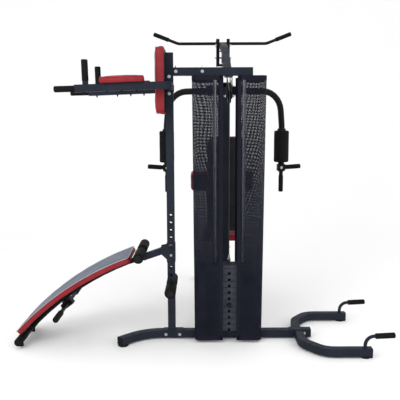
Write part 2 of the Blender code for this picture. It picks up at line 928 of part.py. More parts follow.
def bench_arc():
    """Centre and end angles of the pad's top arc."""
    up, low = Vector(BENCH_UP), Vector(BENCH_LOW)
    chord = low - up
    middle = (up + low) / 2
    across = Vector((-chord.y, chord.x)).normalized()
    centre = middle + across * math.sqrt(BENCH_R**2 - (chord.length / 2) ** 2)
    angles = [math.atan2(p.y - centre.y, p.x - centre.x) for p in (up, low)]
    return centre, angles


def bench_point(share, depth):
    """A point at this share of the arc from the upper end, this far below the pad's top."""
    centre, (first, last) = bench_arc()
    angle = first + (last - first) * share
    radius = BENCH_R - depth
    return centre.x + radius * math.cos(angle), centre.y + radius * math.sin(angle)


def bench_bracket():
    reach = TUBE / 2 + GAP
    thick = 0.003
    low, high = 0.535, 0.662
    sleeve = box(
        "bench_bracket",
        at(POST_X - reach - thick, -reach - thick, low),
        at(POST_X + reach + thick, reach + thick, high),
        "frame_paint",
    )
    space = box(
        "bracket_space",
        at(POST_X - reach, -reach, low - 0.01),
        at(POST_X + reach, reach, high + 0.01),
        "frame_paint",
    )
    gusset = [
        (POST_X - 0.020, low + 0.010), (POST_X - 0.020, high - 0.012), (-0.262, 0.640), (-0.262, 0.590)
    ]
    webs = [
        extruded(
            f"gusset_{side}", gusset, "Y", *sorted((sign * 0.0206, sign * (reach + thick))), "frame_paint"
        )
        for side, sign in (("near", -1), ("far", 1))
    ]
    start, hinge = Vector(STRUT_START), Vector(BENCH_HINGE)
    along = (hinge - start).normalized()
    end = hinge - along * 0.034
    strut = swept(
        "bench_strut",
        [at(start.x, 0, start.y), at(end.x, 0, end.y)],
        rectangle(0.040, 0.042),
        "frame_paint",
    )
    fork = []
    for side, sign in (("near", -1), ("far", 1)):
        y = sorted((sign * 0.018, sign * 0.024))
        across = Vector((-along.y, along.x)) * 0.017
        tip = hinge + along * 0.014
        root = hinge - along * 0.050
        outline = [tuple(root + across), tuple(tip + across), tuple(tip - across), tuple(root - across)]
        fork.append(extruded(f"strut_fork_{side}", outline, "Y", y[0], y[1], "frame_paint"))
    axle = rod(
        "bench_axle", at(hinge.x, -0.030, hinge.y), at(hinge.x, 0.030, hinge.y), 0.007, "chrome_steel"
    )
    bar_x, bar_z = BENCH_ROLLER
    bar = rod(
        "bench_roller_bar", at(bar_x, -0.235, bar_z), at(bar_x, 0.235, bar_z), ROLLER_BAR_R, "black_paint"
    )
    mount = block("bench_bar_mount", at(bar_x, 0, bar_z - 0.010), (0.034, 0.040, 0.034), "frame_paint")
    fuse(sleeve, *webs)
    cut(sleeve, space)
    fuse(strut, *fork, axle, bar, mount)
    for side, sign in (("near", -1), ("far", 1)):
        rod(
            f"bench_roller_{side}", at(
                bar_x, sign * 0.034, bar_z
            ), at(bar_x, sign * 0.230, bar_z), 0.033, "foam", 16, bore=0.0137
        )


def bench_frame():
    hinge_x, hinge_z = BENCH_HINGE
    pivot = at(hinge_x, 0, hinge_z)
    depth = BENCH_PAD + BENCH_TUBE_R + 0.004
    shares = [0.06 + 0.94 * i / 9 for i in range(10)]
    points = [bench_point(share, depth) for share in shares]
    path = [at(hinge_x - 0.006, 0, hinge_z - 0.001)] + [at(x, 0, z) for x, z in points]
    tube = swept("bench_frame", path, circle(BENCH_TUBE_R), "black_paint", Vector((0, 1, 0)), pivot=pivot)
    hub = rod(
        "bench_hub", at(hinge_x, -0.0172, hinge_z), at(hinge_x, 0.0172, hinge_z), 0.0200, "black_paint", 16
    )
    foot_x, foot_z = BENCH_FOOT
    leg = swept(
        "bench_leg", [
            path[-2], at(foot_x, 0, foot_z)
        ], circle(BENCH_TUBE_R - 0.001), "black_paint", Vector((0, 1, 0))
    )
    foot_bar = rod(
        "bench_foot_bar", at(foot_x, -0.200, foot_z), at(foot_x, 0.200, foot_z), BENCH_FOOT_R, "rubber", 16
    )
    feet = [
        rod(
            f"bench_rest_{side}",
            at(foot_x, sign * 0.130, 0),
            at(foot_x, sign * 0.130, foot_z),
            0.014,
            "rubber",
        )
        for side, sign in (("near", -1), ("far", 1))
    ]
    plates = []
    for i, share in enumerate((0.18, 0.80)):
        near = bench_point(share - 0.03, BENCH_PAD + 0.0028)
        far = bench_point(share + 0.03, BENCH_PAD + 0.0028)
        plates.append(
            swept(
                f"bench_plate_{i + 1}",
                [at(near[0], 0, near[1]), at(far[0], 0, far[1])],
                rectangle(0.240, 0.004),
                "black_paint",
            )
        )
    fuse(tube, hub, leg, foot_bar, *feet, *plates)
    bore = rod("bench_bore", at(hinge_x, -0.05, hinge_z), at(hinge_x, 0.05, hinge_z), 0.0078, "black_paint")
    cut(tube, bore)


def bench_pad():
    bm = bmesh.new()
    steps = 14
    path = []
    for i in range(steps + 1):
        x, z = bench_point(i / steps, BENCH_PAD / 2)
        path.append(at(x, 0, z))
    add_sweep(bm, path, rectangle(2 * BENCH_HALF_WIDTH, BENCH_PAD))
    finish("bench_pad", bm, "grey_vinyl")


def bench_handle_bar():
    """A bar under the bench on a clamp that hangs from the frame tube."""
    share = 0.625
    top_depth = BENCH_PAD + 2 * BENCH_TUBE_R + 0.0050
    x, z = bench_point(share, top_depth)
    low_x, low_z = bench_point(share, top_depth + 0.050)
    bar_x, bar_z = bench_point(share, top_depth + 0.026)
    stem = swept(
        "bench_handle_bar", [
            at(x, 0, z), at(low_x, 0, low_z)
        ], rectangle(0.060, 0.050), "black_paint", Vector((0, 1, 0))
    )
    bar = rod("handle_rod", at(bar_x, -0.347, bar_z), at(bar_x, 0.347, bar_z), ROLLER_BAR_R, "black_paint")
    grips = [
        rod(
            f"handle_grip_{side}",
            at(bar_x, sign * 0.215, bar_z),
            at(bar_x, sign * 0.350, bar_z),
            0.0175,
            "foam",
        )
        for side, sign in (("near", -1), ("far", 1))
    ]
    fuse(stem, bar, *grips)


def post_rollers():
    rod(
        "post_roller_bar",
        at(POST_X, -0.200, ROLLER_BAR_Z),
        at(POST_X, 0.200, ROLLER_BAR_Z),
        ROLLER_BAR_R,
        "black_paint",
    )
    for side, sign in (("near", -1), ("far", 1)):
        rod(
            f"post_roller_{side}",
            at(POST_X, sign * 0.0285, ROLLER_BAR_Z),
            at(POST_X, sign * 0.195, ROLLER_BAR_Z),
            0.036,
            "foam",
            16,
            bore=0.0137,
        )


# Seat, leg developer and arm-curl pad

def seat_station():
    box(
        "backrest",
        at(STACK_X - 0.140, UPRIGHT_FRONT + 0.0006, 0.640),
        at(STACK_X + 0.140, UPRIGHT_FRONT + 0.060, 1.350),
        "red_vinyl",
    )
    box(
        "seat",
        at(STACK_X - 0.170, 0.600, SEAT_TUBE_TOP + 0.0006),
        at(STACK_X + 0.170, 0.960, 0.600),
        "red_vinyl",
    )
    rail = box(
        "seat_frame",
        at(STACK_X - 0.025, UPRIGHT_FRONT + GAP, SEAT_TUBE_TOP - 0.050),
        at(STACK_X + 0.025, SLEEVE_Y, SEAT_TUBE_TOP),
        "frame_paint",
    )
    leg = box(
        "seat_leg",
        at(STACK_X - 0.025, 0.960, BEAM_TOP + GAP),
        at(STACK_X + 0.025, 1.000, SEAT_TUBE_TOP - 0.040),
        "frame_paint",
    )
    sleeve = box(
        "curl_sleeve",
        at(STACK_X - 0.025, SLEEVE_Y - 0.025, 0.440),
        at(STACK_X + 0.025, SLEEVE_Y + 0.025, 0.600),
        "frame_paint",
    )
    y, z = LEG_PIVOT
    ears = []
    for side, sign in (("left", -1), ("right", 1)):
        x = sorted((STACK_X + sign * 0.020, STACK_X + sign * 0.025))
        ears.append(
            box(
                f"leg_ear_{side}",
                at(x[0], SLEEVE_Y + 0.020, z - 0.022),
                at(x[1], y + 0.018, z + 0.022),
                "frame_paint",
            ),
        )
    axle = rod("leg_axle", at(STACK_X - 0.032, y, z), at(STACK_X + 0.032, y, z), 0.008, "chrome_steel")
    fuse(rail, leg, sleeve, *ears, axle)
    half = CURL_TUBE / 2 + 0.0008
    space = box(
        "curl_space",
        at(STACK_X - half, SLEEVE_Y - half, 0.400),
        at(STACK_X + half, SLEEVE_Y + half, 0.650),
        "frame_paint",
    )
    cut(rail, space)


def leg_developer():
    y, z = LEG_PIVOT
    pivot = at(STACK_X, y, z)
    hub = rod(
        "leg_developer",
        at(STACK_X - 0.0192, y, z),
        at(STACK_X + 0.0192, y, z),
        0.021,
        "frame_paint",
        16,
        pivot,
    )
    arm = swept(
        "leg_arm",
        [at(STACK_X, y + 0.004, z), at(STACK_X, y + 0.030, 0.150)],
        rectangle(0.038, 0.038),
        "frame_paint",
        Vector((0, 1, 0)),
    )
    roller_y, roller_z = y + 0.027, 0.185
    bar = rod(
        "leg_bar",
        at(STACK_X - 0.205, roller_y, roller_z),
        at(STACK_X + 0.205, roller_y, roller_z),
        ROLLER_BAR_R,
        "black_paint",
    )
    fuse(hub, arm, bar)
    bore = rod("leg_bore", at(STACK_X - 0.05, y, z), at(STACK_X + 0.05, y, z), 0.0088, "frame_paint")
    cut(hub, bore)
    for side, sign in (("left", -1), ("right", 1)):
        rod(
            f"leg_roller_{side}",
            at(STACK_X + sign * 0.0225, roller_y, roller_z),
            at(STACK_X + sign * 0.200, roller_y, roller_z),
            0.042,
            "foam",
            16,
            bore=0.0137,
        )


def curl_station():
    corners = [at(STACK_X, SLEEVE_Y, 0.400), at(STACK_X, SLEEVE_Y, 0.780), at(STACK_X, 1.2316, 0.9128)]
    post = swept(
        "curl_post",
        rounded(corners, 0.080, 4),
        rectangle(CURL_TUBE, CURL_TUBE),
        "frame_paint",
        Vector((0, 1, 0)),
    )
    slope = math.atan2(0.170, 0.100)
    along = Vector((0, math.cos(slope), -math.sin(slope)))
    top = at(STACK_X, 1.196, 1.030)
    bottom = top + along * 0.200
    outward = Vector((0, math.sin(slope), math.cos(slope)))
    plate_middle = (top + bottom) / 2 - outward * 0.0274
    plate = swept(
        "curl_plate",
        [plate_middle - along * 0.050, plate_middle + along * 0.050],
        rectangle(0.160, 0.004),
        "frame_paint",
    )
    combine(post, [plate], "UNION", "MANIFOLD")
    swept("curl_pad", [top, bottom], rectangle(0.550, 0.050), "red_vinyl")


# Push-up station


def push_up_frame():
    """The bent tube, a plate and stub that carry it on the rear beam, and the two bent handles."""
    straight = 0.775
    corners = [
        at(U_END, -U_HALF, BEAM_Z),
        at(straight, -U_HALF, BEAM_Z),
        at(U_APEX, -0.185, BEAM_Z),
        at(U_APEX, 0.185, BEAM_Z),
        at(straight, U_HALF, BEAM_Z),
        at(U_END, U_HALF, BEAM_Z),
    ]
    frame = square_tube("push_up_frame", corners, 0.130)
    half = TUBE / 2
    plate = box(
        "push_up_plate",
        at(0.600, -half, BEAM_TOP + GAP),
        at(0.745, half, BEAM_TOP + GAP + 0.004),
        "frame_paint",
    )
    weld = box(
        "push_up_weld",
        at(U_APEX - 0.020, -half, BEAM_TOP - 0.001),
        at(U_APEX + 0.020, half, BEAM_TOP + 0.002),
        "frame_paint",
    )
    stub = box(
        "push_up_stub",
        at(U_APEX + half - 0.001, -half, BEAM_BOTTOM),
        at(0.745, half, BEAM_TOP + GAP + 0.001),
        "frame_paint",
    )
    pieces = [plate, weld, stub]
    for side, sign in (("near", -1), ("far", 1)):
        y = sign * U_HALF
        base, corner, end = at(U_HANDLE_X, y, 0.052), at(U_HANDLE_X, y, 0.133), at(1.1996, y, 0.1415)
        path = rounded([base, corner, end], 0.055, 5)
        pieces.append(
            swept(f"push_up_handle_{side}", path, circle(U_HANDLE_R), "black_paint", Vector((0, 1, 0)))
        )
        along = (end - corner).normalized()
        rod(
            f"push_up_grip_{side}",
            corner + along * 0.060,
            end + along * 0.006,
            0.0175,
            "foam",
            bore=U_HANDLE_R + 0.0010,
        )
        face = U_END + GAP
        foot(
            f"push_up_foot_{side}",
            at(face, y, BEAM_Z),
            at(face + 0.004, y, BEAM_Z),
            at(face - 0.036, y, 0),
            0.030,
        )
    fuse(frame, *pieces)


def clear_scene():
    for old in list(bpy.data.objects):
        bpy.data.objects.remove(old, do_unlink=True)


def main():
    clear_scene()
    rear_base_beam()
    stack_feet()
    front_base()
    side_post()
    post_foot_bracket()
    top_frame()
    pulley_bracket()
    front_upright()
    lat_bar_rack()
    weight_stack()
    selector_pin()
    shroud()
    press_yoke()
    butterfly_arms()
    lat_bar()
    pulleys_and_cable()
    dip_arms()
    dip_pads()
    bench_bracket()
    bench_frame()
    bench_pad()
    bench_handle_bar()
    post_rollers()
    seat_station()
    leg_developer()
    curl_station()
    push_up_frame()


main()
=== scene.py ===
"""Multi station home gym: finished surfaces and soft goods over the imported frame.

Metres, +Z up. Heights and depths are written with y counted from the rear beam's centre plane,
as in the CAD, and at() moves them into the model's frame.
"""

import json
import math

import bmesh
import bpy
from mathutils import Matrix, Vector, noise


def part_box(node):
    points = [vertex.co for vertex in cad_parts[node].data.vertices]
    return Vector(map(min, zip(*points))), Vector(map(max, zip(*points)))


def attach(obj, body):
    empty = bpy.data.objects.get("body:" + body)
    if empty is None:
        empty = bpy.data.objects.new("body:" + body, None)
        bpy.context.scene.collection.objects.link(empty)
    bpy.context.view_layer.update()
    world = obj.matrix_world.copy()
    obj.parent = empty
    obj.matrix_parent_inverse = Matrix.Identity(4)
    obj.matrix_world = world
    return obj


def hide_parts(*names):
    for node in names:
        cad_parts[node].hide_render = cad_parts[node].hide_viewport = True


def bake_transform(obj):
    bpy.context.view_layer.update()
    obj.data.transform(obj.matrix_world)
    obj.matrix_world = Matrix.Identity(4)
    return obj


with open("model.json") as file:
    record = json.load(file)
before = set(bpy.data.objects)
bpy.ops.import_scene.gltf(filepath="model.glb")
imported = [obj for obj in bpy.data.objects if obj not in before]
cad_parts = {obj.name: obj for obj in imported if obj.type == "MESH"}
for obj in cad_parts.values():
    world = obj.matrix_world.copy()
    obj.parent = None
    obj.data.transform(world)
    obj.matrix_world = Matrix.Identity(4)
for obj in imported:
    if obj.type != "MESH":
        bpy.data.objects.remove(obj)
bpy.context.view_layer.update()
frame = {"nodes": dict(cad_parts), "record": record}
NODES = frame["nodes"]

# Places repeated from the CAD
REAR_Y = -0.561
STACK_X = 0.190
POST_X = -0.195
TUBE = 0.050
TOP_Z = 1.773
BEAM_TOP = 0.061
DIP_Y = 0.220
DIP_LEFT = (-0.749, 1.656)
DIP_RIGHT = (POST_X, 1.676)
BENCH_UP = (-0.458, 0.607)
BENCH_LOW = (-1.206, 0.109)
BENCH_R = 1.85
BENCH_PAD = 0.040
BENCH_HALF_WIDTH = 0.175
BENCH_ROLLER = (-0.392, 0.606)
ROLLER_BAR_Z = 0.369
ARM_X = 0.453
ARM_Y = 0.800
LAT_BAR = (1.200, 2.107)
CABLE_R = 0.003
CABLE_LINE_R = 0.0396
FRONT_PULLEY = (1.065, 1.975)
REAR_PULLEY = (CABLE_LINE_R, 1.620)
LINK_TOP = 1.880
STEM_TOP = 0.5515
LEG_PIVOT = (1.130, 0.470)
SLEEVE_Y = 1.060
LEG_BAR = (LEG_PIVOT[0] + 0.027, 0.185)
RODS = (STACK_X - 0.095, STACK_X + 0.095)

# Shroud: slit edge and outer edge at the top and at the foot of each panel
SHROUD = {"left": (0.146, -0.052, -0.041), "right": (0.236, 0.421, 0.405)}
SHROUD_Y = (-0.0985, 0.1185)
SHROUD_Z = (0.020, 1.742)
SHROUD_CORNER = 0.0335
SHROUD_STEPS = 72  # round the panel
SHROUD_LEVELS = 60  # up the panel
HEM_STEPS = 3
MESH_PITCH = 0.0024

# Foam grips: outer and inner radius
ARM_GRIP = (0.0180, 0.0150)
HANDLE_GRIP = (0.0190, 0.0172)
HANDLE_SHARE = 0.625  # of the bench pad's arc, from its upper end
HANDLE_DEPTH = BENCH_PAD + 0.066  # below the pad's top
FOOT_BAR = (-1.180, 0.048)
SMALL_BAR_R = 0.0137  # inner radius of a foam roller

X, Y, Z = Vector((1, 0, 0)), Vector((0, 1, 0)), Vector((0, 0, 1))


def at(x, y, z):
    """A point with y counted from the rear beam's centre plane."""
    return Vector((x, REAR_Y + y, z))


# Materials


class Graph:
    """A short way to wire one material's nodes."""

    def __init__(self, name):
        self.material = bpy.data.materials.new(name)
        self.material.use_nodes = True
        self.tree = self.material.node_tree
        self.shader = self.tree.nodes["Principled BSDF"]
        self.place = self.node("ShaderNodeTexCoord").outputs["Object"]

    def node(self, kind, inputs=None, **settings):
        made = self.tree.nodes.new(kind)
        for name, value in settings.items():
            setattr(made, name, value)
        for name, value in (inputs or {}).items():
            self.join(value, made.inputs[name])
        return made

    def join(self, value, socket):
        if isinstance(value, bpy.types.NodeSocket):
            self.tree.links.new(value, socket)
        else:
            socket.default_value = value

    def noise(self, scale, detail=3.0, roughness=0.55):
        settings = {"Vector": self.place, "Scale": scale, "Detail": detail, "Roughness": roughness}
        return self.node("ShaderNodeTexNoise", settings).outputs["Fac"]

    def cells(self, scale, feature="F1"):
        made = self.node("ShaderNodeTexVoronoi", {"Vector": self.place, "Scale": scale}, feature=feature)
        return made.outputs["Distance"]

    def wave(self, scale, direction="X", distortion=0.0):
        settings = {"Vector": self.place, "Scale": scale, "Distortion": distortion}
        return self.node("ShaderNodeTexWave", settings, bands_direction=direction).outputs["Fac"]

    def remap(self, value, low, high, to_low, to_high):
        settings = {"Value": value, "From Min": low, "From Max": high, "To Min": to_low, "To Max": to_high}
        return self.node("ShaderNodeMapRange", settings).outputs["Result"]

    def math(self, operation, first, second):
        made = self.node("ShaderNodeMath", operation=operation)
        self.join(first, made.inputs[0])
        self.join(second, made.inputs[1])
        return made.outputs["Value"]

    def blend(self, factor, first, second):
        made = self.node("ShaderNodeMix", data_type="RGBA")
        self.join(factor, made.inputs["Factor"])
        self.join((*first, 1.0), made.inputs[6])
        self.join((*second, 1.0), made.inputs[7])
        return made.outputs[2]

    def bump(self, height, distance, strength=1.0, normal=None):
        settings = {"Height": height, "Distance": distance, "Strength": strength}
        if normal:
            settings["Normal"] = normal
        return self.node("ShaderNodeBump", settings).outputs["Normal"]

    def soft_edges(self, radius):
        return self.node("ShaderNodeBevel", {"Radius": radius}, samples=4).outputs["Normal"]

    def surface(self, **inputs):
        for name, value in inputs.items():
            self.join(value, self.shader.inputs[name.replace("_", " ")])
        return self.material


def paint(name, colour, worn, roughness, edge=0.0025):
    """Powder coat: fine orange peel, faint blotches and slightly duller patches."""
    g = Graph(name)
    blotch = g.remap(g.noise(9.0, 4.0), 0.35, 0.68, 0.0, 1.0)
    grain = g.noise(900.0, 2.0)
    normal = g.bump(grain, 0.00025, 0.55, g.soft_edges(edge))
    dull = g.remap(g.noise(30.0, 4.0), 0.3, 0.7, roughness - 0.06, roughness + 0.10)
    tint = g.blend(blotch, colour, worn)
    return g.surface(Base_Color=tint, Roughness=dull, Specular_IOR_Level=0.10, Normal=normal)


def plated(name, colour, roughness, scratch_scale=260.0):
    """Bright plating with fine scratches and smears."""
    g = Graph(name)
    streak = g.noise(scratch_scale, 2.0)
    smear = g.noise(14.0, 3.0)
    dull = g.remap(smear, 0.3, 0.7, roughness - 0.04, roughness + 0.10)
    tint = g.blend(smear, colour, tuple(0.86 * c for c in colour))
    return g.surface(Base_Color=tint, Roughness=dull, Metallic=1.0, Normal=g.bump(streak, 0.00008, 0.4))


def casting():
    """Painted plates: sandy surface, paler where the coat is thin."""
    g = Graph("painted_plates")
    mottle = g.remap(g.noise(26.0, 5.0), 0.3, 0.7, 0.0, 1.0)
    sand = g.noise(420.0, 3.0)
    normal = g.bump(sand, 0.0005, 0.5, g.soft_edges(0.0035))
    colour = g.blend(mottle, (0.030, 0.034, 0.048), (0.052, 0.058, 0.078))
    dull = g.remap(sand, 0.3, 0.7, 0.42, 0.62)
    return g.surface(Base_Color=colour, Roughness=dull, Specular_IOR_Level=0.2, Normal=normal)


def vinyl(name, colour, shade, roughness=0.40):
    """Upholstery vinyl: pebbled grain in two sizes over soft creases."""
    g = Graph(name)
    pebble = g.math("ADD", g.cells(520.0), g.math("MULTIPLY", g.cells(1100.0), 0.5))
    crease = g.noise(38.0, 3.0)
    normal = g.bump(pebble, 0.00030, 0.55, g.bump(crease, 0.0016, 0.35))
    tone = g.remap(g.noise(12.0, 3.0), 0.3, 0.7, 0.0, 1.0)
    dull = g.remap(pebble, 0.1, 0.9, roughness - 0.06, roughness + 0.14)
    g.shader.inputs["Specular IOR Level"].default_value = 0.25
    return g.surface(Base_Color=g.blend(tone, colour, shade), Roughness=dull, Normal=normal)


def foam_skin(name, colour, shade):
    """Closed-cell foam: fine open pores and slow dents."""
    g = Graph(name)
    pores = g.remap(g.cells(700.0), 0.0, 0.45, 0.0, 1.0)
    dent = g.noise(30.0, 3.0)
    normal = g.bump(pores, 0.0005, 0.65, g.bump(dent, 0.0015, 0.4))
    dull = g.remap(pores, 0.0, 1.0, 0.92, 0.72)
    g.shader.inputs["Specular IOR Level"].default_value = 0.08
    return g.surface(Base_Color=g.blend(dent, colour, shade), Roughness=dull, Normal=normal)


def moulded(name, colour, roughness):
    """Moulded plastic with a fine speckle and soft edges."""
    g = Graph(name)
    speck = g.noise(650.0, 2.0)
    tone = g.noise(20.0, 3.0)
    normal = g.bump(speck, 0.0002, 0.5, g.soft_edges(0.0015))
    dull = g.remap(tone, 0.3, 0.7, roughness - 0.05, roughness + 0.10)
    shade = tuple(1.6 * c for c in colour)
    g.shader.inputs["Specular IOR Level"].default_value = 0.12
    return g.surface(Base_Color=g.blend(tone, colour, shade), Roughness=dull, Normal=normal)


def sheathed_cable():
    """Wire rope under a thin clear coat, with its lay showing as slanted bands."""
    g = Graph("sheathed_cable")
    lay = g.wave(330.0, "DIAGONAL")
    normal = g.bump(lay, 0.0004, 0.7)
    colour = g.blend(lay, (0.030, 0.030, 0.034), (0.13, 0.13, 0.14))
    return g.surface(Base_Color=colour, Roughness=g.remap(lay, 0, 1, 0.32, 0.5), Metallic=0.5, Normal=normal)


def knitted_mesh():
    """Open warp-knit: holes in a square grid on the sheet's own coordinates, drawn wider near the top."""
    g = Graph("knitted_mesh")
    weave = g.node("ShaderNodeUVMap", uv_map="cloth").outputs["UV"]
    parts = g.node("ShaderNodeSeparateXYZ", {"Vector": weave})
    turns = 2 * math.pi / MESH_PITCH
    pull = g.math("MULTIPLY", g.noise(2.6, 0.0), 1.6 * MESH_PITCH)
    across = g.math("SINE", g.math("MULTIPLY", g.math("ADD", parts.outputs["X"], pull), turns), 0.0)
    along = g.math("SINE", g.math("MULTIPLY", g.math("SUBTRACT", parts.outputs["Y"], pull), turns), 0.0)
    web = g.math("MULTIPLY", across, along)
    drawn = g.remap(parts.outputs["Y"], 0.45, 1.55, 0.82, 0.54)
    depth = g.math("ABSOLUTE", web, 0.0)
    cover = g.math("SUBTRACT", 1.0, g.math("MULTIPLY", g.math("SUBTRACT", depth, drawn), 6.0))
    tone = g.remap(g.noise(16.0, 3.0), 0.3, 0.7, 0.0, 1.0)
    colour = g.blend(tone, (0.0110, 0.0125, 0.0220), (0.0180, 0.0200, 0.0330))
    normal = g.bump(cover, 0.0006, 0.8)
    g.shader.inputs["Specular IOR Level"].default_value = 0.06
    dull = g.remap(tone, 0, 1, 0.7, 0.9)
    solid = g.remap(cover, 0.0, 1.0, 0.0, 1.0)
    return g.surface(Base_Color=colour, Roughness=dull, Normal=normal, Alpha=solid)


def webbing():
    """Woven binding tape: fine diagonal ribs."""
    g = Graph("binding_tape")
    rib = g.wave(420.0, "DIAGONAL", 0.4)
    tone = g.noise(60.0, 3.0)
    colour = g.blend(tone, (0.0080, 0.0080, 0.0150), (0.0140, 0.0140, 0.0240))
    g.shader.inputs["Specular IOR Level"].default_value = 0.06
    dull = g.remap(rib, 0, 1, 0.65, 0.9)
    return g.surface(Base_Color=colour, Roughness=dull, Normal=g.bump(rib, 0.0004, 0.7))


MATERIALS = {
    "frame_paint": paint("frame_coat", (0.0130, 0.0160, 0.0250), (0.0175, 0.0215, 0.033), 0.55),
    "black_paint": paint("black_coat", (0.0040, 0.0040, 0.0048), (0.0070, 0.0070, 0.0085), 0.45, 0.0015),
    "chrome_steel": plated("plated_rod", (0.80, 0.83, 0.88), 0.30),
    "zinc": plated("zinc_plate", (0.66, 0.68, 0.70), 0.26, 500.0),
    "cast_iron": casting(),
    "red_vinyl": vinyl("red_vinyl", (0.190, 0.007, 0.013), (0.270, 0.012, 0.020)),
    "dark_vinyl": vinyl("dark_vinyl", (0.016, 0.017, 0.022), (0.026, 0.027, 0.034), 0.42),
    "grey_vinyl": vinyl("grey_vinyl", (0.085, 0.105, 0.145), (0.115, 0.140, 0.185), 0.42),
    "board_cloth": vinyl("board_cloth", (0.010, 0.010, 0.012), (0.018, 0.018, 0.021), 0.55),
    # Both piping cords are coloured paler than the vinyl beside them: a painted highlight along each seam.
    "piping": vinyl("piping_cord", (0.34, 0.035, 0.045), (0.42, 0.05, 0.06), 0.34),
    "grey_piping": vinyl("grey_piping_cord", (0.30, 0.31, 0.34), (0.38, 0.39, 0.42), 0.34),
    "foam": foam_skin("foam_skin", (0.0045, 0.0045, 0.0050), (0.009, 0.009, 0.010)),
    "rubber": foam_skin("moulded_rubber", (0.006, 0.006, 0.006), (0.011, 0.011, 0.011)),
    "mesh_fabric": knitted_mesh(),
    "tape": webbing(),
    "black_plastic": moulded("black_plastic", (0.006, 0.006, 0.007), 0.42),
    "steel_cable": sheathed_cable(),
}


def dress_nodes():
    """Every CAD node that stays takes the finish of its own slot."""
    for sub in frame["record"]["subparts"]:
        slots = NODES[sub["node"]].data.materials
        slots.clear()
        slots.append(MATERIALS[sub["material_slot"]])


# Mesh helpers


def piece(name, bm, materials, body, smooth_angle=35.0):
    """Links the mesh as a piece that rides on a body, or on none where no body is given."""
    bmesh.ops.recalc_face_normals(bm, faces=bm.faces)
    mesh = bpy.data.meshes.new(name)
    bm.to_mesh(mesh)
    bm.free()
    for material in materials:
        mesh.materials.append(MATERIALS[material])
    mesh.shade_smooth()
    mesh.set_sharp_from_angle(angle=math.radians(smooth_angle))
    made = bpy.data.objects.new(name, mesh)
    bpy.context.scene.collection.objects.link(made)
    if body:
        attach(made, body)
    return made


def cross_frame(axis):
    """Two unit vectors square to the axis."""
    helper = Z if abs(axis.z) < 0.9 else X
    side = axis.cross(helper).normalized()
    return side, side.cross(axis)


def add_turned(bm, start, axis, profile, sides=32, index=0, wobble=0.0):
    """A closed profile of (along, radius) points turned about an axis."""
    axis = axis.normalized()
    side, lift = cross_frame(axis)
    rings = []
    for i in range(sides):
        angle = 2 * math.pi * i / sides
        out = side * math.cos(angle) + lift * math.sin(angle)
        ring = []
        for along, radius in profile:
            point = start + axis * along + out * radius
            if wobble:
                point += out * noise.noise(point * 22.0) * wobble
            ring.append(bm.verts.new(point))
        rings.append(ring)
    count = len(profile)
    for i in range(sides):
        near, far = rings[i], rings[(i + 1) % sides]
        for j in range(count):
            k = (j + 1) % count
            bm.faces.new((near[j], far[j], far[k], near[k])).material_index = index


def rounded_sleeve(length, outer, inner, corner, steps=4):
    """The profile of a sleeve with rounded outer corners."""
    profile = [(0.0, inner)]
    for i in range(steps + 1):
        angle = math.pi / 2 * i / steps
        profile.append((corner * (1 - math.sin(angle)), outer - corner * (1 - math.cos(angle))))
    profile = [profile[0]] + profile[:0:-1]
    far = [(length - along, radius) for along, radius in profile]
    return profile + far[::-1]


def add_tube(bm, path, radius, sides=10, index=0):
    """A round tube along a smooth path, closed at both ends."""
    rings = []
    side = None
    for i, point in enumerate(path):
        along = (path[min(i + 1, len(path) - 1)] - path[max(i - 1, 0)]).normalized()
        if side is None:
            side, lift = cross_frame(along)
        side = (side - along * side.dot(along)).normalized()
        lift = along.cross(side)
        ring = []
        for j in range(sides):
            angle = 2 * math.pi * j / sides
            ring.append(bm.verts.new(point + (side * math.cos(angle) + lift * math.sin(angle)) * radius))
        rings.append(ring)
    for near, far in zip(rings, rings[1:]):
        for j in range(sides):
            k = (j + 1) % sides
            bm.faces.new((near[j], near[k], far[k], far[j])).material_index = index
    bm.faces.new(rings[0]).material_index = index
    bm.faces.new(rings[-1]).material_index = index


def add_hex(bm, centre, axis, across, height, index=0):
    """A hexagonal head with a chamfered top."""
    axis = axis.normalized()
    side, lift = cross_frame(axis)
    rings = []
    for along, share in ((0.0, 1.0), (height * 0.75, 1.0), (height, 0.86)):
        ring = []
        for i in range(6):
            angle = math.pi / 3 * i
            out = side * math.cos(angle) + lift * math.sin(angle)
            ring.append(bm.verts.new(centre + axis * along + out * across / 2 * share))
        rings.append(ring)
    for near, far in zip(rings, rings[1:]):
        for i in range(6):
            j = (i + 1) % 6
            bm.faces.new((near[i], near[j], far[j], far[i])).material_index = index
    bm.faces.new(rings[0]).material_index = index
    bm.faces.new(rings[-1]).material_index = index


def add_bolt(bm, centre, axis, across=0.016, washer=0.0105):
    """A washer, a domed hexagonal head and the end of its thread."""
    axis = axis.normalized()
    thick = 0.0018
    add_turned(bm, centre, axis, [(0, 0.002), (0, washer), (thick, washer * 0.96), (thick, 0.002)], 20)
    add_hex(bm, centre + axis * thick, axis, across, 0.0065)
    end = [(0, 0.001), (0, across * 0.30), (0.0035, across * 0.30), (0.0055, across * 0.22), (0.0055, 0.001)]
    add_turned(bm, centre + axis * (thick + 0.0064), axis, end, 14)


def add_box(bm, centre, size, turn=None, bevel=0.002, index=0):
    """A block with bevelled edges."""
    made = bmesh.ops.create_cube(bm, size=1.0)
    matrix = Matrix.Translation(centre) @ (turn or Matrix.Identity(4)) @ Matrix.Diagonal((*size, 1.0))
    bmesh.ops.transform(bm, matrix=matrix, verts=made["verts"])
    edges = list({edge for vert in made["verts"] for edge in vert.link_edges})
    result = bmesh.ops.bevel(bm, geom=edges, offset=bevel, segments=3, affect="EDGES", profile=0.5)
    for face in result["faces"]:
        face.material_index = index
    for vert in made["verts"]:
        if vert.is_valid:
            for face in vert.link_faces:
                face.material_index = index


def arc_points(centre, first, second, radius, start, end, steps):
    """Points on an arc in the plane of two unit vectors."""
    points = []
    for i in range(steps + 1):
        angle = start + (end - start) * i / steps
        points.append(centre + (first * math.cos(angle) + second * math.sin(angle)) * radius)
    return points


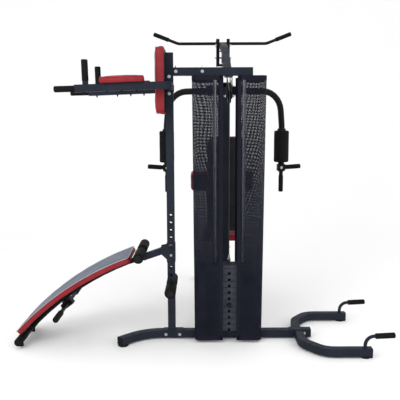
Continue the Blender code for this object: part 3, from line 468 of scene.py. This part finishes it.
# Upholstery

RED_PAD = ("red_vinyl", "dark_vinyl", "piping")
BENCH_COVER = ("red_vinyl", "grey_vinyl", "grey_piping")
SEAT_PAD = 0.057
PAD_GAP = 0.0004

def outline(half_x, half_y, corner, inset, count=8):
    """A rounded rectangle, shrunk by an inset, as points that keep their order."""
    corner_now = max(corner - inset, 0.004)
    points = []
    for quarter, (sx, sy) in enumerate(((1, 1), (-1, 1), (-1, -1), (1, -1))):
        cx, cy = sx * (half_x - inset - corner_now), sy * (half_y - inset - corner_now)
        for i in range(count + 1):
            angle = math.pi / 2 * (quarter + i / count)
            points.append(Vector((cx + corner_now * math.cos(angle), cy + corner_now * math.sin(angle))))
    return points


def resample(points, spacing):
    """The same closed outline with even steps no longer than the spacing."""
    closed = points + [points[0]]
    lengths = [0.0]
    for near, far in zip(closed, closed[1:]):
        lengths.append(lengths[-1] + (far - near).length)
    count = max(24, int(lengths[-1] / spacing))
    made, k = [], 0
    for i in range(count):
        goal = lengths[-1] * i / count
        while lengths[k + 1] < goal:
            k += 1
        share = (goal - lengths[k]) / max(lengths[k + 1] - lengths[k], 1e-9)
        made.append(closed[k].lerp(closed[k + 1], share))
    return made


def pad_mesh(length, width, thick, corner, crown, spacing=0.014):
    """A board-backed pad in its own frame: flat back at z 0, sides that bulge, and a crowned face.

    Material 0 is the side band, 1 the face and 2 the covered board. The seam's height is returned too."""
    bm = bmesh.new()
    half_x, half_y = length / 2, width / 2
    base = resample(outline(half_x, half_y, corner, 0.0), spacing)
    count = len(base)
    seam = thick * 0.86
    band = [(0.010, 0.0), (0.0050, 0.0022), (0.0015, 0.0075), (0.0, thick * 0.42)]
    band += [(0.0006, thick * 0.62), (0.0024, seam * 0.92), (0.0050, seam)]
    reach = min(half_x, half_y)
    face = [(0.0085, seam + 0.0022), (0.015, seam + 0.55 * (thick - seam)), (0.030, thick * 0.975)]
    for i in range(1, 6):
        share = i / 5
        face.append((0.030 + (reach * 0.96 - 0.030) * share, thick * 0.975 + crown * share**0.7))
    centre_line = half_x - half_y

    def level(inset, height):
        ring = []
        for point in base:
            towards = Vector((0, 0))
            if centre_line > 0:
                towards.x = max(-centre_line, min(centre_line, point.x))
            if inset < 0.03:
                out = point - towards
                moved = point - out.normalized() * inset
            else:
                moved = towards.lerp(point, max(0.0, 1 - inset / reach))
            ring.append(bm.verts.new((moved.x, moved.y, height)))
        return ring

    back_rings = [level(reach * 0.96, 0.0), level(0.030, 0.0)]
    side_rings = [level(inset, height) for inset, height in band]
    face_rings = [level(inset, height) for inset, height in face]
    rings = back_rings + side_rings + face_rings
    first_face_ring = len(back_rings) + len(side_rings) - 1
    for k, (near, far) in enumerate(zip(rings, rings[1:])):
        for i in range(count):
            j = (i + 1) % count
            index = 2 if k < len(back_rings) else int(k >= first_face_ring)
            bm.faces.new((near[i], near[j], far[j], far[i])).material_index = index
    close_ring(bm, rings[0], 2)
    close_ring(bm, rings[-1], 1)
    bmesh.ops.remove_doubles(bm, verts=bm.verts, dist=0.0006)
    return bm, seam


def close_ring(bm, ring, index):
    """Closes a ring with strips between its two long sides."""
    count = len(ring)
    half = count // 2
    low = ring[: half + 1]
    high = [ring[0]] + ring[:half - 1 if count % 2 == 0 else half:-1]
    steps = min(len(low), len(high))
    for i in range(steps - 1):
        corners = []
        for vert in (low[i], low[i + 1], high[i + 1], high[i]):
            if vert not in corners:
                corners.append(vert)
        if len(corners) > 2:
            if not bm.faces.get(corners):
                bm.faces.new(corners).material_index = index


def swell(obj, cap, pressure=4.0, frames=14):
    """Blows the cover up against its flat back with Cloth, and caps how far a point may move."""
    mesh = obj.data
    before = [v.co.copy() for v in mesh.vertices]
    pins = obj.vertex_groups.new(name="board")
    pins.add([v.index for v in mesh.vertices if v.co.z < 0.004], 1.0, "REPLACE")
    modifier = obj.modifiers.new("swell", "CLOTH")
    cloth = modifier.settings
    cloth.quality = 5
    cloth.mass = 0.3
    cloth.tension_stiffness = 25.0
    cloth.compression_stiffness = 25.0
    cloth.shear_stiffness = 8.0
    cloth.bending_stiffness = 0.6
    cloth.use_pressure = True
    cloth.uniform_pressure_force = pressure
    cloth.vertex_group_mass = "board"
    cloth.effector_weights.gravity = 0.0
    modifier.collision_settings.use_collision = False
    modifier.point_cache.frame_start = 1
    modifier.point_cache.frame_end = frames
    scene = bpy.context.scene
    for number in range(1, frames + 1):
        scene.frame_set(number)
    evaluated = obj.evaluated_get(bpy.context.evaluated_depsgraph_get())
    after = [v.co.copy() for v in evaluated.data.vertices]
    obj.modifiers.remove(modifier)
    scene.frame_set(1)
    for vert, old, new in zip(mesh.vertices, before, after):
        move = new - old
        if move.length > cap:
            move = move.normalized() * cap
        vert.co = old + move
    obj.vertex_groups.clear()


def crease(obj, strength, scale=17.0):
    """Slow uneven dents of a pad that has been sat on, none on its back."""
    for vert in obj.data.vertices:
        hold = min(1.0, max(0.0, (vert.co.z - 0.004) / 0.02))
        vert.co.z += strength * hold * noise.noise(vert.co * scale + Vector((3.1, 1.7, 0.4)))


def upholstered(name, node, body, size, corner, crown, place, materials=RED_PAD, cap=0.004, bend=None):
    """A board-backed pad with piping on its seam, set in place by a matrix or bent by a function."""
    length, width, thick = size
    bm, seam = pad_mesh(length, width, thick, corner, crown)
    made = piece(name, bm, [*materials[:2], "board_cloth"], body, 60.0)
    swell(made, cap)
    crease(made, 0.0016)
    edge = resample(outline(length / 2, width / 2, corner, 0.0050), 0.012)
    loop = [Vector((point.x, point.y, seam + 0.0012)) for point in edge]
    cord = bmesh.new()
    add_loop(cord, loop, 0.0026)
    piping = piece(name + "_piping", cord, [materials[2]], body, 80.0)
    for obj in (made, piping):
        for vert in obj.data.vertices:
            vert.co = bend(vert.co) if bend else place @ vert.co
        obj.data.update()
    smooth = made.modifiers.new("smooth", "SUBSURF")
    smooth.levels = smooth.render_levels = 1
    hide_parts(node)
    return made


def add_loop(bm, loop, radius, sides=8):
    """A round cord laid along a closed flat loop."""
    rings = []
    count = len(loop)
    for i, point in enumerate(loop):
        along = (loop[(i + 1) % count] - loop[i - 1]).normalized()
        out = along.cross(Z)
        ring = []
        for j in range(sides):
            angle = 2 * math.pi * j / sides
            ring.append(bm.verts.new(point + (out * math.cos(angle) + Z * math.sin(angle)) * radius))
        rings.append(ring)
    for i in range(count):
        near, far = rings[i], rings[(i + 1) % count]
        for j in range(sides):
            k = (j + 1) % sides
            bm.faces.new((near[j], near[k], far[k], far[j]))


def basis(origin, along, across, out):
    """The matrix that puts a pad's length, width and face along these three directions."""
    columns = [v.normalized() for v in (along, across, out)]
    matrix = Matrix.Identity(4)
    for c, column in enumerate(columns):
        for r in range(3):
            matrix[r][c] = column[r]
    for r in range(3):
        matrix[r][3] = origin[r]
    return matrix


def bench_arc():
    """Centre and end angles of the bench pad's top arc, in X and Z."""
    up, low = Vector(BENCH_UP), Vector(BENCH_LOW)
    chord = low - up
    across = Vector((-chord.y, chord.x)).normalized()
    centre = (up + low) / 2 + across * math.sqrt(BENCH_R**2 - (chord.length / 2) ** 2)
    first, last = (math.atan2(p.y - centre.y, p.x - centre.x) for p in (up, low))
    return centre, first, last


def bench_point(share, depth):
    """A point at this share of the arc from the upper end, this far below the pad's top."""
    centre, first, last = bench_arc()
    angle = first + (last - first) * share
    radius = BENCH_R - depth
    return centre.x + radius * math.cos(angle), centre.y + radius * math.sin(angle)


def pads():
    """The seven upholstered pads, each in the space of its own solid."""
    slope = (DIP_RIGHT[1] - DIP_LEFT[1]) / (DIP_RIGHT[0] - DIP_LEFT[0])
    along = Vector((1, 0, slope)).normalized()
    up = Vector((-along.z, 0, along.x))
    pad_x = -0.468
    pad_z = DIP_LEFT[1] + slope * (pad_x - DIP_LEFT[0]) + 0.0235
    for side, sign in (("near", -1), ("far", 1)):
        place = basis(at(pad_x, sign * DIP_Y, pad_z), along, up.cross(along), up)
        size = (0.268, 0.100, 0.040)
        upholstered(f"arm_cushion_{side}", f"arm_pad_{side}", "frame", size, 0.022, 0.002, place)
    low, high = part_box("back_pad")
    middle = (low + high) / 2
    place = basis(Vector((high.x - PAD_GAP, middle.y, middle.z)), Z, Y, -X)
    size = (high.z - low.z, high.y - low.y, SEAT_PAD)
    upholstered("back_cushion", "back_pad", "frame", size, 0.040, 0.002, place)
    low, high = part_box("backrest")
    middle = (low + high) / 2
    place = basis(Vector((middle.x, low.y + PAD_GAP, middle.z)), Z, X, Y)
    size = (high.z - low.z, high.x - low.x, SEAT_PAD)
    upholstered("backrest_cushion", "backrest", "frame", size, 0.060, 0.003, place)
    low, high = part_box("seat")
    middle = (low + high) / 2
    place = basis(Vector((middle.x, middle.y, low.z + PAD_GAP)), Y, -X, Z)
    size = (high.y - low.y, high.x - low.x, SEAT_PAD)
    upholstered("seat_cushion", "seat", "frame", size, 0.060, 0.003, place)
    tilt = math.atan2(0.170, 0.100)
    down = Vector((0, math.cos(tilt), -math.sin(tilt)))
    face = Vector((0, math.sin(tilt), math.cos(tilt)))
    middle = at(STACK_X, 1.196, 1.030) + down * 0.100 - face * 0.0245
    place = basis(middle, X, down, face)
    upholstered("curl_cushion", "curl_pad", "curl_rest", (0.545, 0.200, 0.048), 0.030, 0.002, place)
    bench_cushion()


def bench_cushion():
    """The long pad, made flat and then bent round the bench's arc."""
    centre, first, last = bench_arc()
    length = BENCH_R * abs(last - first)
    spin = 1 if last > first else -1

    def bend(co):
        angle = first + spin * (co.x + length / 2) / BENCH_R
        radius = BENCH_R - BENCH_PAD + co.z
        return at(centre.x + radius * math.cos(angle), co.y, centre.y + radius * math.sin(angle))

    size = (length - 0.002, 2 * BENCH_HALF_WIDTH, 0.039)
    upholstered("bench_cushion", "bench_pad", "bench", size, 0.016, 0.001, None, BENCH_COVER, 0.003, bend)


# Foam


def foam_sleeve(name, body, start, end, outer, inner, node=None, corner=0.007, sides=40):
    """A foam sleeve on a bar, rounded at both ends and a little uneven."""
    bm = bmesh.new()
    along = end - start
    profile = rounded_sleeve(along.length, outer, inner, corner)
    middle = [(along.length * share, outer) for share in (0.2, 0.35, 0.5, 0.65, 0.8)]
    half = len(profile) // 2
    profile = profile[:half] + middle + profile[half:]
    add_turned(bm, start, along, profile, sides, 0, min(0.0009, outer * 0.03))
    made = piece(name, bm, ["foam"], body, 50.0)
    if node:
        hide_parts(node)
    return made


def end_plug(bm, centre, axis, radius, depth=0.006):
    """A domed plastic cap on the end of a round bar."""
    profile = [(-0.003, 0.001), (-0.003, radius), (depth * 0.5, radius)]
    profile += [(depth, radius * 0.7), (depth * 1.2, 0.001)]
    add_turned(bm, centre, axis, profile, 24)


def arm_foam(side, sign):
    """The big roller and the two handgrips of a butterfly arm."""
    x = STACK_X + sign * ARM_X
    low, high = at(x, ARM_Y, 1.138), at(x, ARM_Y, 1.386)
    node = f"arm_roller_{side}"
    foam_sleeve(f"arm_roller_foam_{side}", f"{side}_arm_roller", low, high, 0.0582, 0.0258, node, 0.012)
    high, low = at(x, ARM_Y, 1.036), at(x, ARM_Y, 0.902)
    foam_sleeve(f"arm_grip_down_foam_{side}", f"{side}_arm", high, low, *ARM_GRIP)
    start = at(x + sign * 0.034, ARM_Y, 1.0980)
    end = at(x + sign * 0.1525, ARM_Y, 1.1060)
    foam_sleeve(f"arm_grip_out_foam_{side}", f"{side}_arm", start, end, *ARM_GRIP)


def leg_foam(side, sign):
    """One roller of the leg developer."""
    start = at(STACK_X + sign * 0.0230, *LEG_BAR)
    end = at(STACK_X + sign * 0.1995, *LEG_BAR)
    node = f"leg_roller_{side}"
    foam_sleeve(f"leg_roller_foam_{side}", node, start, end, 0.0418, SMALL_BAR_R, node, 0.010)


def post_foam(side, sign):
    """The bench's foot roller and the low roller on one side of the post."""
    x, z = BENCH_ROLLER
    start, end = at(x, sign * 0.035, z), at(x, sign * 0.2295, z)
    node = f"bench_roller_{side}"
    foam_sleeve(f"bench_roller_foam_{side}", node, start, end, 0.0335, SMALL_BAR_R, node, 0.010)
    start, end = at(POST_X, sign * 0.029, ROLLER_BAR_Z), at(POST_X, sign * 0.1945, ROLLER_BAR_Z)
    node = f"post_roller_{side}"
    foam_sleeve(f"post_roller_foam_{side}", node, start, end, 0.0365, SMALL_BAR_R, node, 0.010)


def handle_foam(side, sign):
    """Grips of the dip arms, the bench's handle and foot bars, and the push-up handles."""
    x, y, z = DIP_LEFT[0], sign * DIP_Y, DIP_LEFT[1]
    start, end = at(x - 0.007, y, z), at(-0.8775, y, z - 0.003)
    foam_sleeve(f"dip_grip_foam_{side}", "frame", start, end, 0.0190, 0.0165)
    start, end = at(-0.6885, y, 1.699), at(-0.691, y, 1.8275)
    foam_sleeve(f"upright_grip_foam_{side}", "frame", start, end, 0.0200, 0.0176)
    x, z = bench_point(HANDLE_SHARE, HANDLE_DEPTH)
    start, end = at(x, sign * 0.213, z), at(x, sign * 0.3505, z)
    foam_sleeve(f"bench_handle_foam_{side}", "bench", start, end, *HANDLE_GRIP)
    x, z = FOOT_BAR
    start, end = at(x, sign * 0.060, z), at(x, sign * 0.2005, z)
    foam_sleeve(f"foot_bar_foam_{side}", "bench", start, end, 0.0258, 0.0236)
    y = sign * 0.328
    start, end = at(1.022, y, 0.133), at(1.1996, y, 0.1415)
    along = (end - start).normalized()
    start, end = start + along * 0.060, end + along * 0.0055
    foam_sleeve(f"push_up_foam_{side}", "frame", start, end, 0.0178, 0.0122, f"push_up_grip_{side}")


def lat_foam(side, sign):
    """The grip on one bent end of the lat bar."""
    tip = at(STACK_X + sign * 0.575, LAT_BAR[0], LAT_BAR[1] + 0.078)
    bend = at(STACK_X + sign * 0.370, *LAT_BAR)
    along = (bend - tip).normalized()
    start, end = tip - along * 0.001, tip + along * 0.135
    foam_sleeve(f"lat_grip_foam_{side}", "lat_bar", start, end, 0.0170, 0.0124, None, 0.005)


def foam_parts():
    """Every foam sleeve, body by body."""
    for side, sign in (("left", -1), ("right", 1)):
        arm_foam(side, sign)
        leg_foam(side, sign)
    for side, sign in (("near", -1), ("far", 1)):
        post_foam(side, sign)
        handle_foam(side, sign)
    for side, sign in (("left", -1), ("right", 1)):
        lat_foam(side, sign)


# Shroud


def shroud_line(side, z, inset=0.0015):
    """The panel's C-shaped path at this height, evenly spaced."""
    slit, top_x, low_x = SHROUD[side]
    share = (z - SHROUD_Z[0]) / (SHROUD_Z[1] - SHROUD_Z[0])
    outer = low_x + (top_x - low_x) * share
    sign = 1 if slit > outer else -1
    outer += sign * inset
    back, front = SHROUD_Y
    r = SHROUD_CORNER
    points = [at(slit, back, z)]
    points += arc_points(at(outer + sign * r, back + r, z), -Y, -X * sign, r, 0, math.pi / 2, 8)
    points += arc_points(at(outer + sign * r, front - r, z), -X * sign, Y, r, 0, math.pi / 2, 8)
    points.append(at(slit, front, z))
    return spaced(points, SHROUD_STEPS)


def spaced(points, count):
    """Even steps along an open path."""
    lengths = [0.0]
    for near, far in zip(points, points[1:]):
        lengths.append(lengths[-1] + (far - near).length)
    made, k = [], 0
    for i in range(count + 1):
        goal = min(lengths[-1] * i / count, lengths[-1] - 1e-9)
        while lengths[k + 1] < goal:
            k += 1
        made.append(points[k].lerp(points[k + 1], (goal - lengths[k]) / (lengths[k + 1] - lengths[k])))
    return made


def add_strip(bm, lines, index=0, uv=None):
    """A sheet through these lines, with cloth coordinates in metres."""
    rows = [[bm.verts.new(p) for p in line] for line in lines]
    for k, (near, far) in enumerate(zip(rows, rows[1:])):
        for i in range(len(near) - 1):
            face = bm.faces.new((near[i], near[i + 1], far[i + 1], far[i]))
            face.material_index = index
            if uv:
                steps = ((i, k), (i + 1, k), (i + 1, k + 1), (i, k + 1))
                for corner, (a, b) in zip(face.loops, steps):
                    near_line = lines[b]
                    width = (near_line[1] - near_line[0]).length
                    corner[uv].uv = (a * width, lines[b][0].z)


def slack(point, side_sign):
    """How far the stretched mesh stands in or out of its plane."""
    wave = noise.noise(Vector((point.x * 5.0, point.y * 5.0, point.z * 2.2)))
    fold = noise.noise(Vector((point.x * 14.0, point.y * 14.0, point.z * 1.1)) + Vector((7, 3, side_sign)))
    return 0.0010 * wave + 0.0007 * fold


def shroud_panel(side):
    """One stretched mesh panel with its hem, open where it passes over the rear beam."""
    sign = -1 if side == "left" else 1
    foot, top = SHROUD_Z
    lines = []
    for k in range(SHROUD_LEVELS + 1):
        z = foot + (top - foot) * k / SHROUD_LEVELS
        centre = at(STACK_X, 0.01, z)
        line = []
        for point in shroud_line(side, z):
            out = (point - centre).normalized()
            line.append(point + out * slack(point, sign))
        lines.append(line)
    bm = bmesh.new()
    uv = bm.loops.layers.uv.new("cloth")
    add_strip(bm, lines, 0, uv)
    for face in list(bm.faces):
        middle = face.calc_center_median()
        if middle.z < BEAM_TOP + 0.006 and abs(middle.y - REAR_Y) < 0.060:
            bm.faces.remove(face)
    sheet = piece(f"shroud_mesh_{side}", bm, ["mesh_fabric"], "frame", 80.0)
    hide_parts(f"shroud_panel_{side}")
    hem = shroud_hem(side, lines)
    return sheet


def shroud_hem(side, lines):
    """Binding tape on both sides of the mesh, along the top, the bottom and both upright edges."""
    bm = bmesh.new()
    half_thick = 0.0011
    spans = [lines[-2:], lines[:2]]
    for first in (0, SHROUD_STEPS - HEM_STEPS):
        spans.append([row[first : first + HEM_STEPS + 1] for row in lines])
    for rows in spans:
        for offset in (-half_thick, half_thick):
            add_strip(bm, [[shift(point, offset) for point in row] for row in rows])
    return piece(f"shroud_hem_{side}", bm, ["tape"], "frame", 60.0)


def shift(point, amount):
    """The point moved level, away from the middle of the stack."""
    out = Vector((point.x - STACK_X, point.y - REAR_Y - 0.01, 0)).normalized()
    return point + out * amount


# Cables


def cable_parts():
    """The main cable in three runs; the two upright ones, which change length with the stack, ride on no
    body.
    """
    rear_y, rear_z = REAR_PULLEY
    front_y, front_z = FRONT_PULLEY
    slope = math.atan2(front_z - rear_z, front_y - rear_y)
    leave = math.pi / 2 + slope
    foot = at(STACK_X, 0, STEM_TOP + 0.004)
    rear_top = at(STACK_X, rear_y - CABLE_LINE_R, rear_z)
    rear = [foot.lerp(rear_top, i / 24) for i in range(25)]
    over = arc_points(at(STACK_X, rear_y, rear_z), Y, Z, CABLE_LINE_R, math.pi, leave, 10)
    over += arc_points(at(STACK_X, front_y, front_z), Y, Z, CABLE_LINE_R, leave, 0, 12)
    front_top = over[-1]
    front_end = Vector((front_top.x, front_top.y, LINK_TOP + 0.001))
    front = [front_top.lerp(front_end, i / 12) for i in range(13)]
    made = []
    runs = (("cable_rear", rear, None), ("cable_top", over, "frame"), ("cable_front", front, None))
    for name, path, body in runs:
        bm = bmesh.new()
        add_tube(bm, path, CABLE_R, 10)
        made.append(piece(name, bm, ["steel_cable"], body, 80.0))
    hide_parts("cable")
    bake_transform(made[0])
    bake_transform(made[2])
    cable_fittings(foot, front_end)


def cable_fittings(foot, front_end):
    """The nut and sleeve on the stack's stem, and the collar and ring at the lat link."""
    bm = bmesh.new()
    low = foot - Z * 0.012
    add_hex(bm, low, Z, 0.026, 0.009)
    sleeve = [(0.009, 0.0034), (0.009, 0.0075), (0.030, 0.0065), (0.036, 0.0034)]
    add_turned(bm, low, Z, sleeve, 20)
    piece("stem_fitting", bm, ["zinc"], "lifted_stack", 40.0)
    bm = bmesh.new()
    collar = [(0, 0.0034), (0, 0.0095), (0.012, 0.0085), (0.018, 0.0034)]
    add_turned(bm, front_end - Z * 0.004, Z, collar, 20)
    ring = arc_points(front_end - Z * 0.092, X, Z, 0.013, 0, 1.97 * math.pi, 24)
    add_tube(bm, ring, 0.0028, 8)
    piece("lat_snap_hook", bm, ["zinc"], "lat_link", 40.0)


# Bolts, pins, caps and brackets


def bolts(name, body, places, finish="zinc"):
    """Bolt heads as one piece; each place is (centre, axis) or (centre, axis, size, washer radius)."""
    bm = bmesh.new()
    for centre, axis, *size in places:
        add_bolt(bm, centre, axis, *size)
    return piece(name, bm, [finish], body, 35.0)


def frame_bolts():
    """Bolts through the frame's joints, the pulley and pivot axles, the dip arms and the yoke."""
    half = TUBE / 2
    places = []
    for sign in (-1, 1):
        side = Y * sign
        for x in (-0.152, 0.016):
            places.append((at(x, sign * (half + 0.0004), TOP_Z), side))
        for z in (1.740, 1.635):
            places.append((at(POST_X, sign * (half + 0.0066), z), side))
        for x in (-0.235, -0.142):
            places.append((at(x, sign * (half + 0.0036), 0.034), side))
        places.append((at(0.700, sign * (half + 0.0002), 0.0385), side))
        for z in (1.672, 1.745, 1.840):
            places.append((at(STACK_X + sign * (half + 0.0034), 0.450, z), X * sign))
        places.append((at(STACK_X + sign * 0.0552, FRONT_PULLEY[0], FRONT_PULLEY[1]), X * sign, 0.019))
        places.append((at(STACK_X + sign * 0.0552, 1.062, 2.075), X * sign))
        places.append((at(STACK_X + sign * 0.0442, 0.530, 1.720), X * sign, 0.019))
        places.append((at(STACK_X + sign * 0.0222, REAR_PULLEY[0], REAR_PULLEY[1]), X * sign, 0.016))
        places.append((at(STACK_X + sign * (half + 0.0002), 0.520, 0.515), X * sign))
        places.append((at(STACK_X + sign * 0.0322, LEG_PIVOT[0], LEG_PIVOT[1]), X * sign, 0.019))
    for x in (-0.152, 0.016):
        places.append((at(x, 0, TOP_Z + half + 0.0002), Z))
    bolts("frame_bolts", "frame", places)
    dip = []
    for sign in (-1, 1):
        for x in (-0.700, -0.560, -0.470, -0.380):
            share = (x - DIP_LEFT[0]) / (DIP_RIGHT[0] - DIP_LEFT[0])
            z = DIP_LEFT[1] + (DIP_RIGHT[1] - DIP_LEFT[1]) * share - 0.0227
            dip.append((at(x, sign * DIP_Y, z), -Z, 0.011, 0.0075))
    bolts("dip_arm_bolts", "frame", dip, "black_paint")
    moving = [(at(POST_X, sign * (half + 0.0036), 0.581), Y * sign, 0.012, 0.0080) for sign in (-1, 1)]
    moving += [(at(-0.415, sign * 0.0302, 0.552), Y * sign, 0.017) for sign in (-1, 1)]
    bolts("bench_mount_bolts", "bench_mount", moving)
    yoke = []
    for sign in (-1, 1):
        for end in (-1, 1):
            z = 1.6855 + end * 0.0387
            yoke.append((at(STACK_X + sign * 0.110, 0.620, z), Z * end, 0.019))
    bolts("yoke_bolts", "press_frame", yoke)


def pull_pin(name, body, place, axis, knob_r=0.014, reach=0.036):
    """A spring pin: threaded collar, bright shaft and a round knob."""
    bm = bmesh.new()
    collar = [(0, 0.0045), (0, 0.0105), (0.011, 0.0105), (0.013, 0.0085), (0.013, 0.0045)]
    add_turned(bm, place, axis, collar, 18, 1)
    add_turned(bm, place, axis, [(0.012, 0.0005), (0.012, 0.0042), (reach, 0.0042), (reach, 0.0005)], 14, 1)
    knob = [
        (reach - 0.004, 0.003),
        (reach - 0.004, knob_r * 0.75),
        (reach, knob_r * 0.98),
        (reach + 0.006, knob_r),
        (reach + 0.013, knob_r * 0.92),
        (reach + 0.016, knob_r * 0.55),
        (reach + 0.0165, 0.0005),
    ]
    add_turned(bm, place, axis, knob, 22, 0)
    return piece(name, bm, ["black_plastic", "zinc"], body, 40.0)


def pins_and_knobs():
    half = TUBE / 2
    pull_pin("bench_mount_pin", "bench_mount", at(POST_X, -half - 0.0036, 0.645), -Y, 0.012, 0.030)
    pull_pin("curl_pin", "frame", at(STACK_X + half + 0.0002, SLEEVE_Y, 0.575), X)
    x, z = bench_point(HANDLE_SHARE, HANDLE_DEPTH)
    ahead = bench_point(0.70, HANDLE_DEPTH)
    towards_foot = Vector((ahead[0] - x, 0, ahead[1] - z)).normalized()
    seat = at(x, 0.012, z) + towards_foot * 0.0255
    pull_pin("bench_clamp_knob", "bench", seat, towards_foot, 0.017, 0.022)


def tube_caps():
    """Moulded plugs in the open tube ends."""
    bm = bmesh.new()
    wide = TUBE + 0.001
    add_box(bm, at(POST_X, 0, 1.8885), (wide, wide, 0.0045), None, 0.0015)
    add_box(bm, at(0.3355, 0, TOP_Z), (0.0045, wide, wide), None, 0.0015)
    for sign in (-1, 1):
        centre = at(DIP_LEFT[0] - 0.0025, sign * DIP_Y, DIP_LEFT[1])
        add_box(bm, centre, (0.005, 0.0455, 0.0455), None, 0.0018)
    add_box(bm, at(STACK_X, 0.450, 1.7025), (TUBE * 0.95, TUBE * 0.95, 0.004), None, 0.001)
    piece("tube_caps", bm, ["black_plastic"], "frame", 40.0)


def moving_caps():
    """End plugs on the foam-roller bars, collars and bolts on the butterfly arms."""
    leg_bar = (STACK_X, *LEG_BAR)
    bench_bar = (BENCH_ROLLER[0], 0, BENCH_ROLLER[1])
    for name, body, middle, axis, half, radius in (
        ("leg_bar_caps", "leg_developer", leg_bar, X, 0.205, 0.0135),
        ("bench_bar_caps", "bench_mount", bench_bar, Y, 0.235, 0.0215),
        ("post_bar_caps", "frame", (POST_X, 0, ROLLER_BAR_Z), Y, 0.200, 0.0215),
    ):
        bm = bmesh.new()
        for sign in (-1, 1):
            end_plug(bm, at(*middle) + axis * sign * half, axis * sign, radius)
        piece(name, bm, ["black_plastic"], body, 40.0)
    collar = [(0, 0.0245), (0, 0.034), (0.012, 0.032), (0.018, 0.0245)]
    for side, sign in (("left", -1), ("right", 1)):
        x = STACK_X + sign * ARM_X
        bm = bmesh.new()
        add_turned(bm, at(x, ARM_Y, 1.3865), Z, collar, 28)
        piece(f"arm_collar_{side}", bm, ["black_plastic"], f"{side}_arm", 40.0)
        places = [(at(x, ARM_Y + end * 0.0312, 1.096), Y * end, 0.015) for end in (-1, 1)]
        bolts(f"arm_clamp_bolts_{side}", f"{side}_arm", places)


def stack_details():
    """Damper rings below the plates, rod collars under the top beam and bushings in the head plate."""
    ring = [(0, 0.0112), (0, 0.024), (0.004, 0.024), (0.005, 0.022), (0.005, 0.0112)]
    collar = [(0, 0.0112), (0, 0.019), (0.0155, 0.019), (0.0155, 0.0112)]
    bushing = [(0, 0.0118), (0, 0.0205), (0.006, 0.0205), (0.008, 0.0175), (0.008, 0.0118)]
    under_top = TOP_Z - TUBE / 2 - 0.016
    for name, material, body, slot, z, profile, sides in (
        ("damper_rings", "rubber", "frame", "rubber", BEAM_TOP + 0.0003, ring, 28),
        ("rod_collars", "zinc", "frame", "chrome_steel", under_top, collar, 24),
        ("head_bushings", "black_plastic", "lifted_stack", "black_plastic", 0.5187, bushing, 24),
    ):
        bm = bmesh.new()
        for x in RODS:
            add_turned(bm, at(x, 0, z), Z, profile, sides)
        piece(name, bm, [material], body, 40.0)


# Studio


def studio():
    """A floor that curves up behind the machine, a white world and two soft lights."""
    bm = bmesh.new()
    depth, radius, wide, rise = 2.4, 5.0, 16.0, 12.0
    profile = [Vector((0, -9.0, 0))]
    profile += arc_points(Vector((0, depth, radius)), -Z, Y, radius, 0, math.pi / 2, 24)
    profile.append(Vector((0, depth + radius, rise)))
    rows = [[point + X * x for point in profile] for x in (-wide, wide)]
    add_strip(bm, rows)
    mesh = bpy.data.meshes.new("floor")
    bm.to_mesh(mesh)
    bm.free()
    mesh.shade_smooth()
    g = Graph("pale_floor")
    tone = g.noise(1.2, 2.0)
    pale = g.blend(tone, (0.93, 0.93, 0.93), (0.95, 0.95, 0.95))
    mesh.materials.append(g.surface(Base_Color=pale, Roughness=0.8, Specular_IOR_Level=0.1))
    floor = bpy.data.objects.new("floor", mesh)
    bpy.context.scene.collection.objects.link(floor)
    world = bpy.data.worlds.new("studio")
    world.use_nodes = True
    background = world.node_tree.nodes["Background"]
    background.inputs["Color"].default_value = (1.0, 1.0, 1.0, 1.0)
    background.inputs["Strength"].default_value = 1.0
    bpy.context.scene.world = world
    bpy.context.scene.view_settings.view_transform = "Standard"
    area_light("key", (-2.6, -4.2, 3.6), (0.0, 0.0, 1.0), 2.6, 90)
    area_light("fill", (3.4, -3.4, 2.6), (0.1, 0.0, 0.9), 2.4, 45)


def area_light(name, place, aim, size, power):
    data = bpy.data.lights.new(name, "AREA")
    data.size = size
    data.energy = power
    light = bpy.data.objects.new(name, data)
    light.location = place
    light.rotation_euler = (Vector(aim) - Vector(place)).to_track_quat("-Z", "Y").to_euler()
    bpy.context.scene.collection.objects.link(light)


def camera():
    data = bpy.data.cameras.new("camera")
    data.lens = 50.4
    data.sensor_width = 36.0
    made = bpy.data.objects.new("camera", data)
    made.location = (0.0, REAR_Y - 3.65, 1.455)
    made.rotation_euler = (math.radians(82.07), math.radians(0.2), 0.0)
    bpy.context.scene.collection.objects.link(made)
    bpy.context.scene.camera = made


camera()
studio()
dress_nodes()
pads()
foam_parts()
for panel_side in ("left", "right"):
    shroud_panel(panel_side)
cable_parts()
frame_bolts()
pins_and_knobs()
tube_caps()
moving_caps()
stack_details()
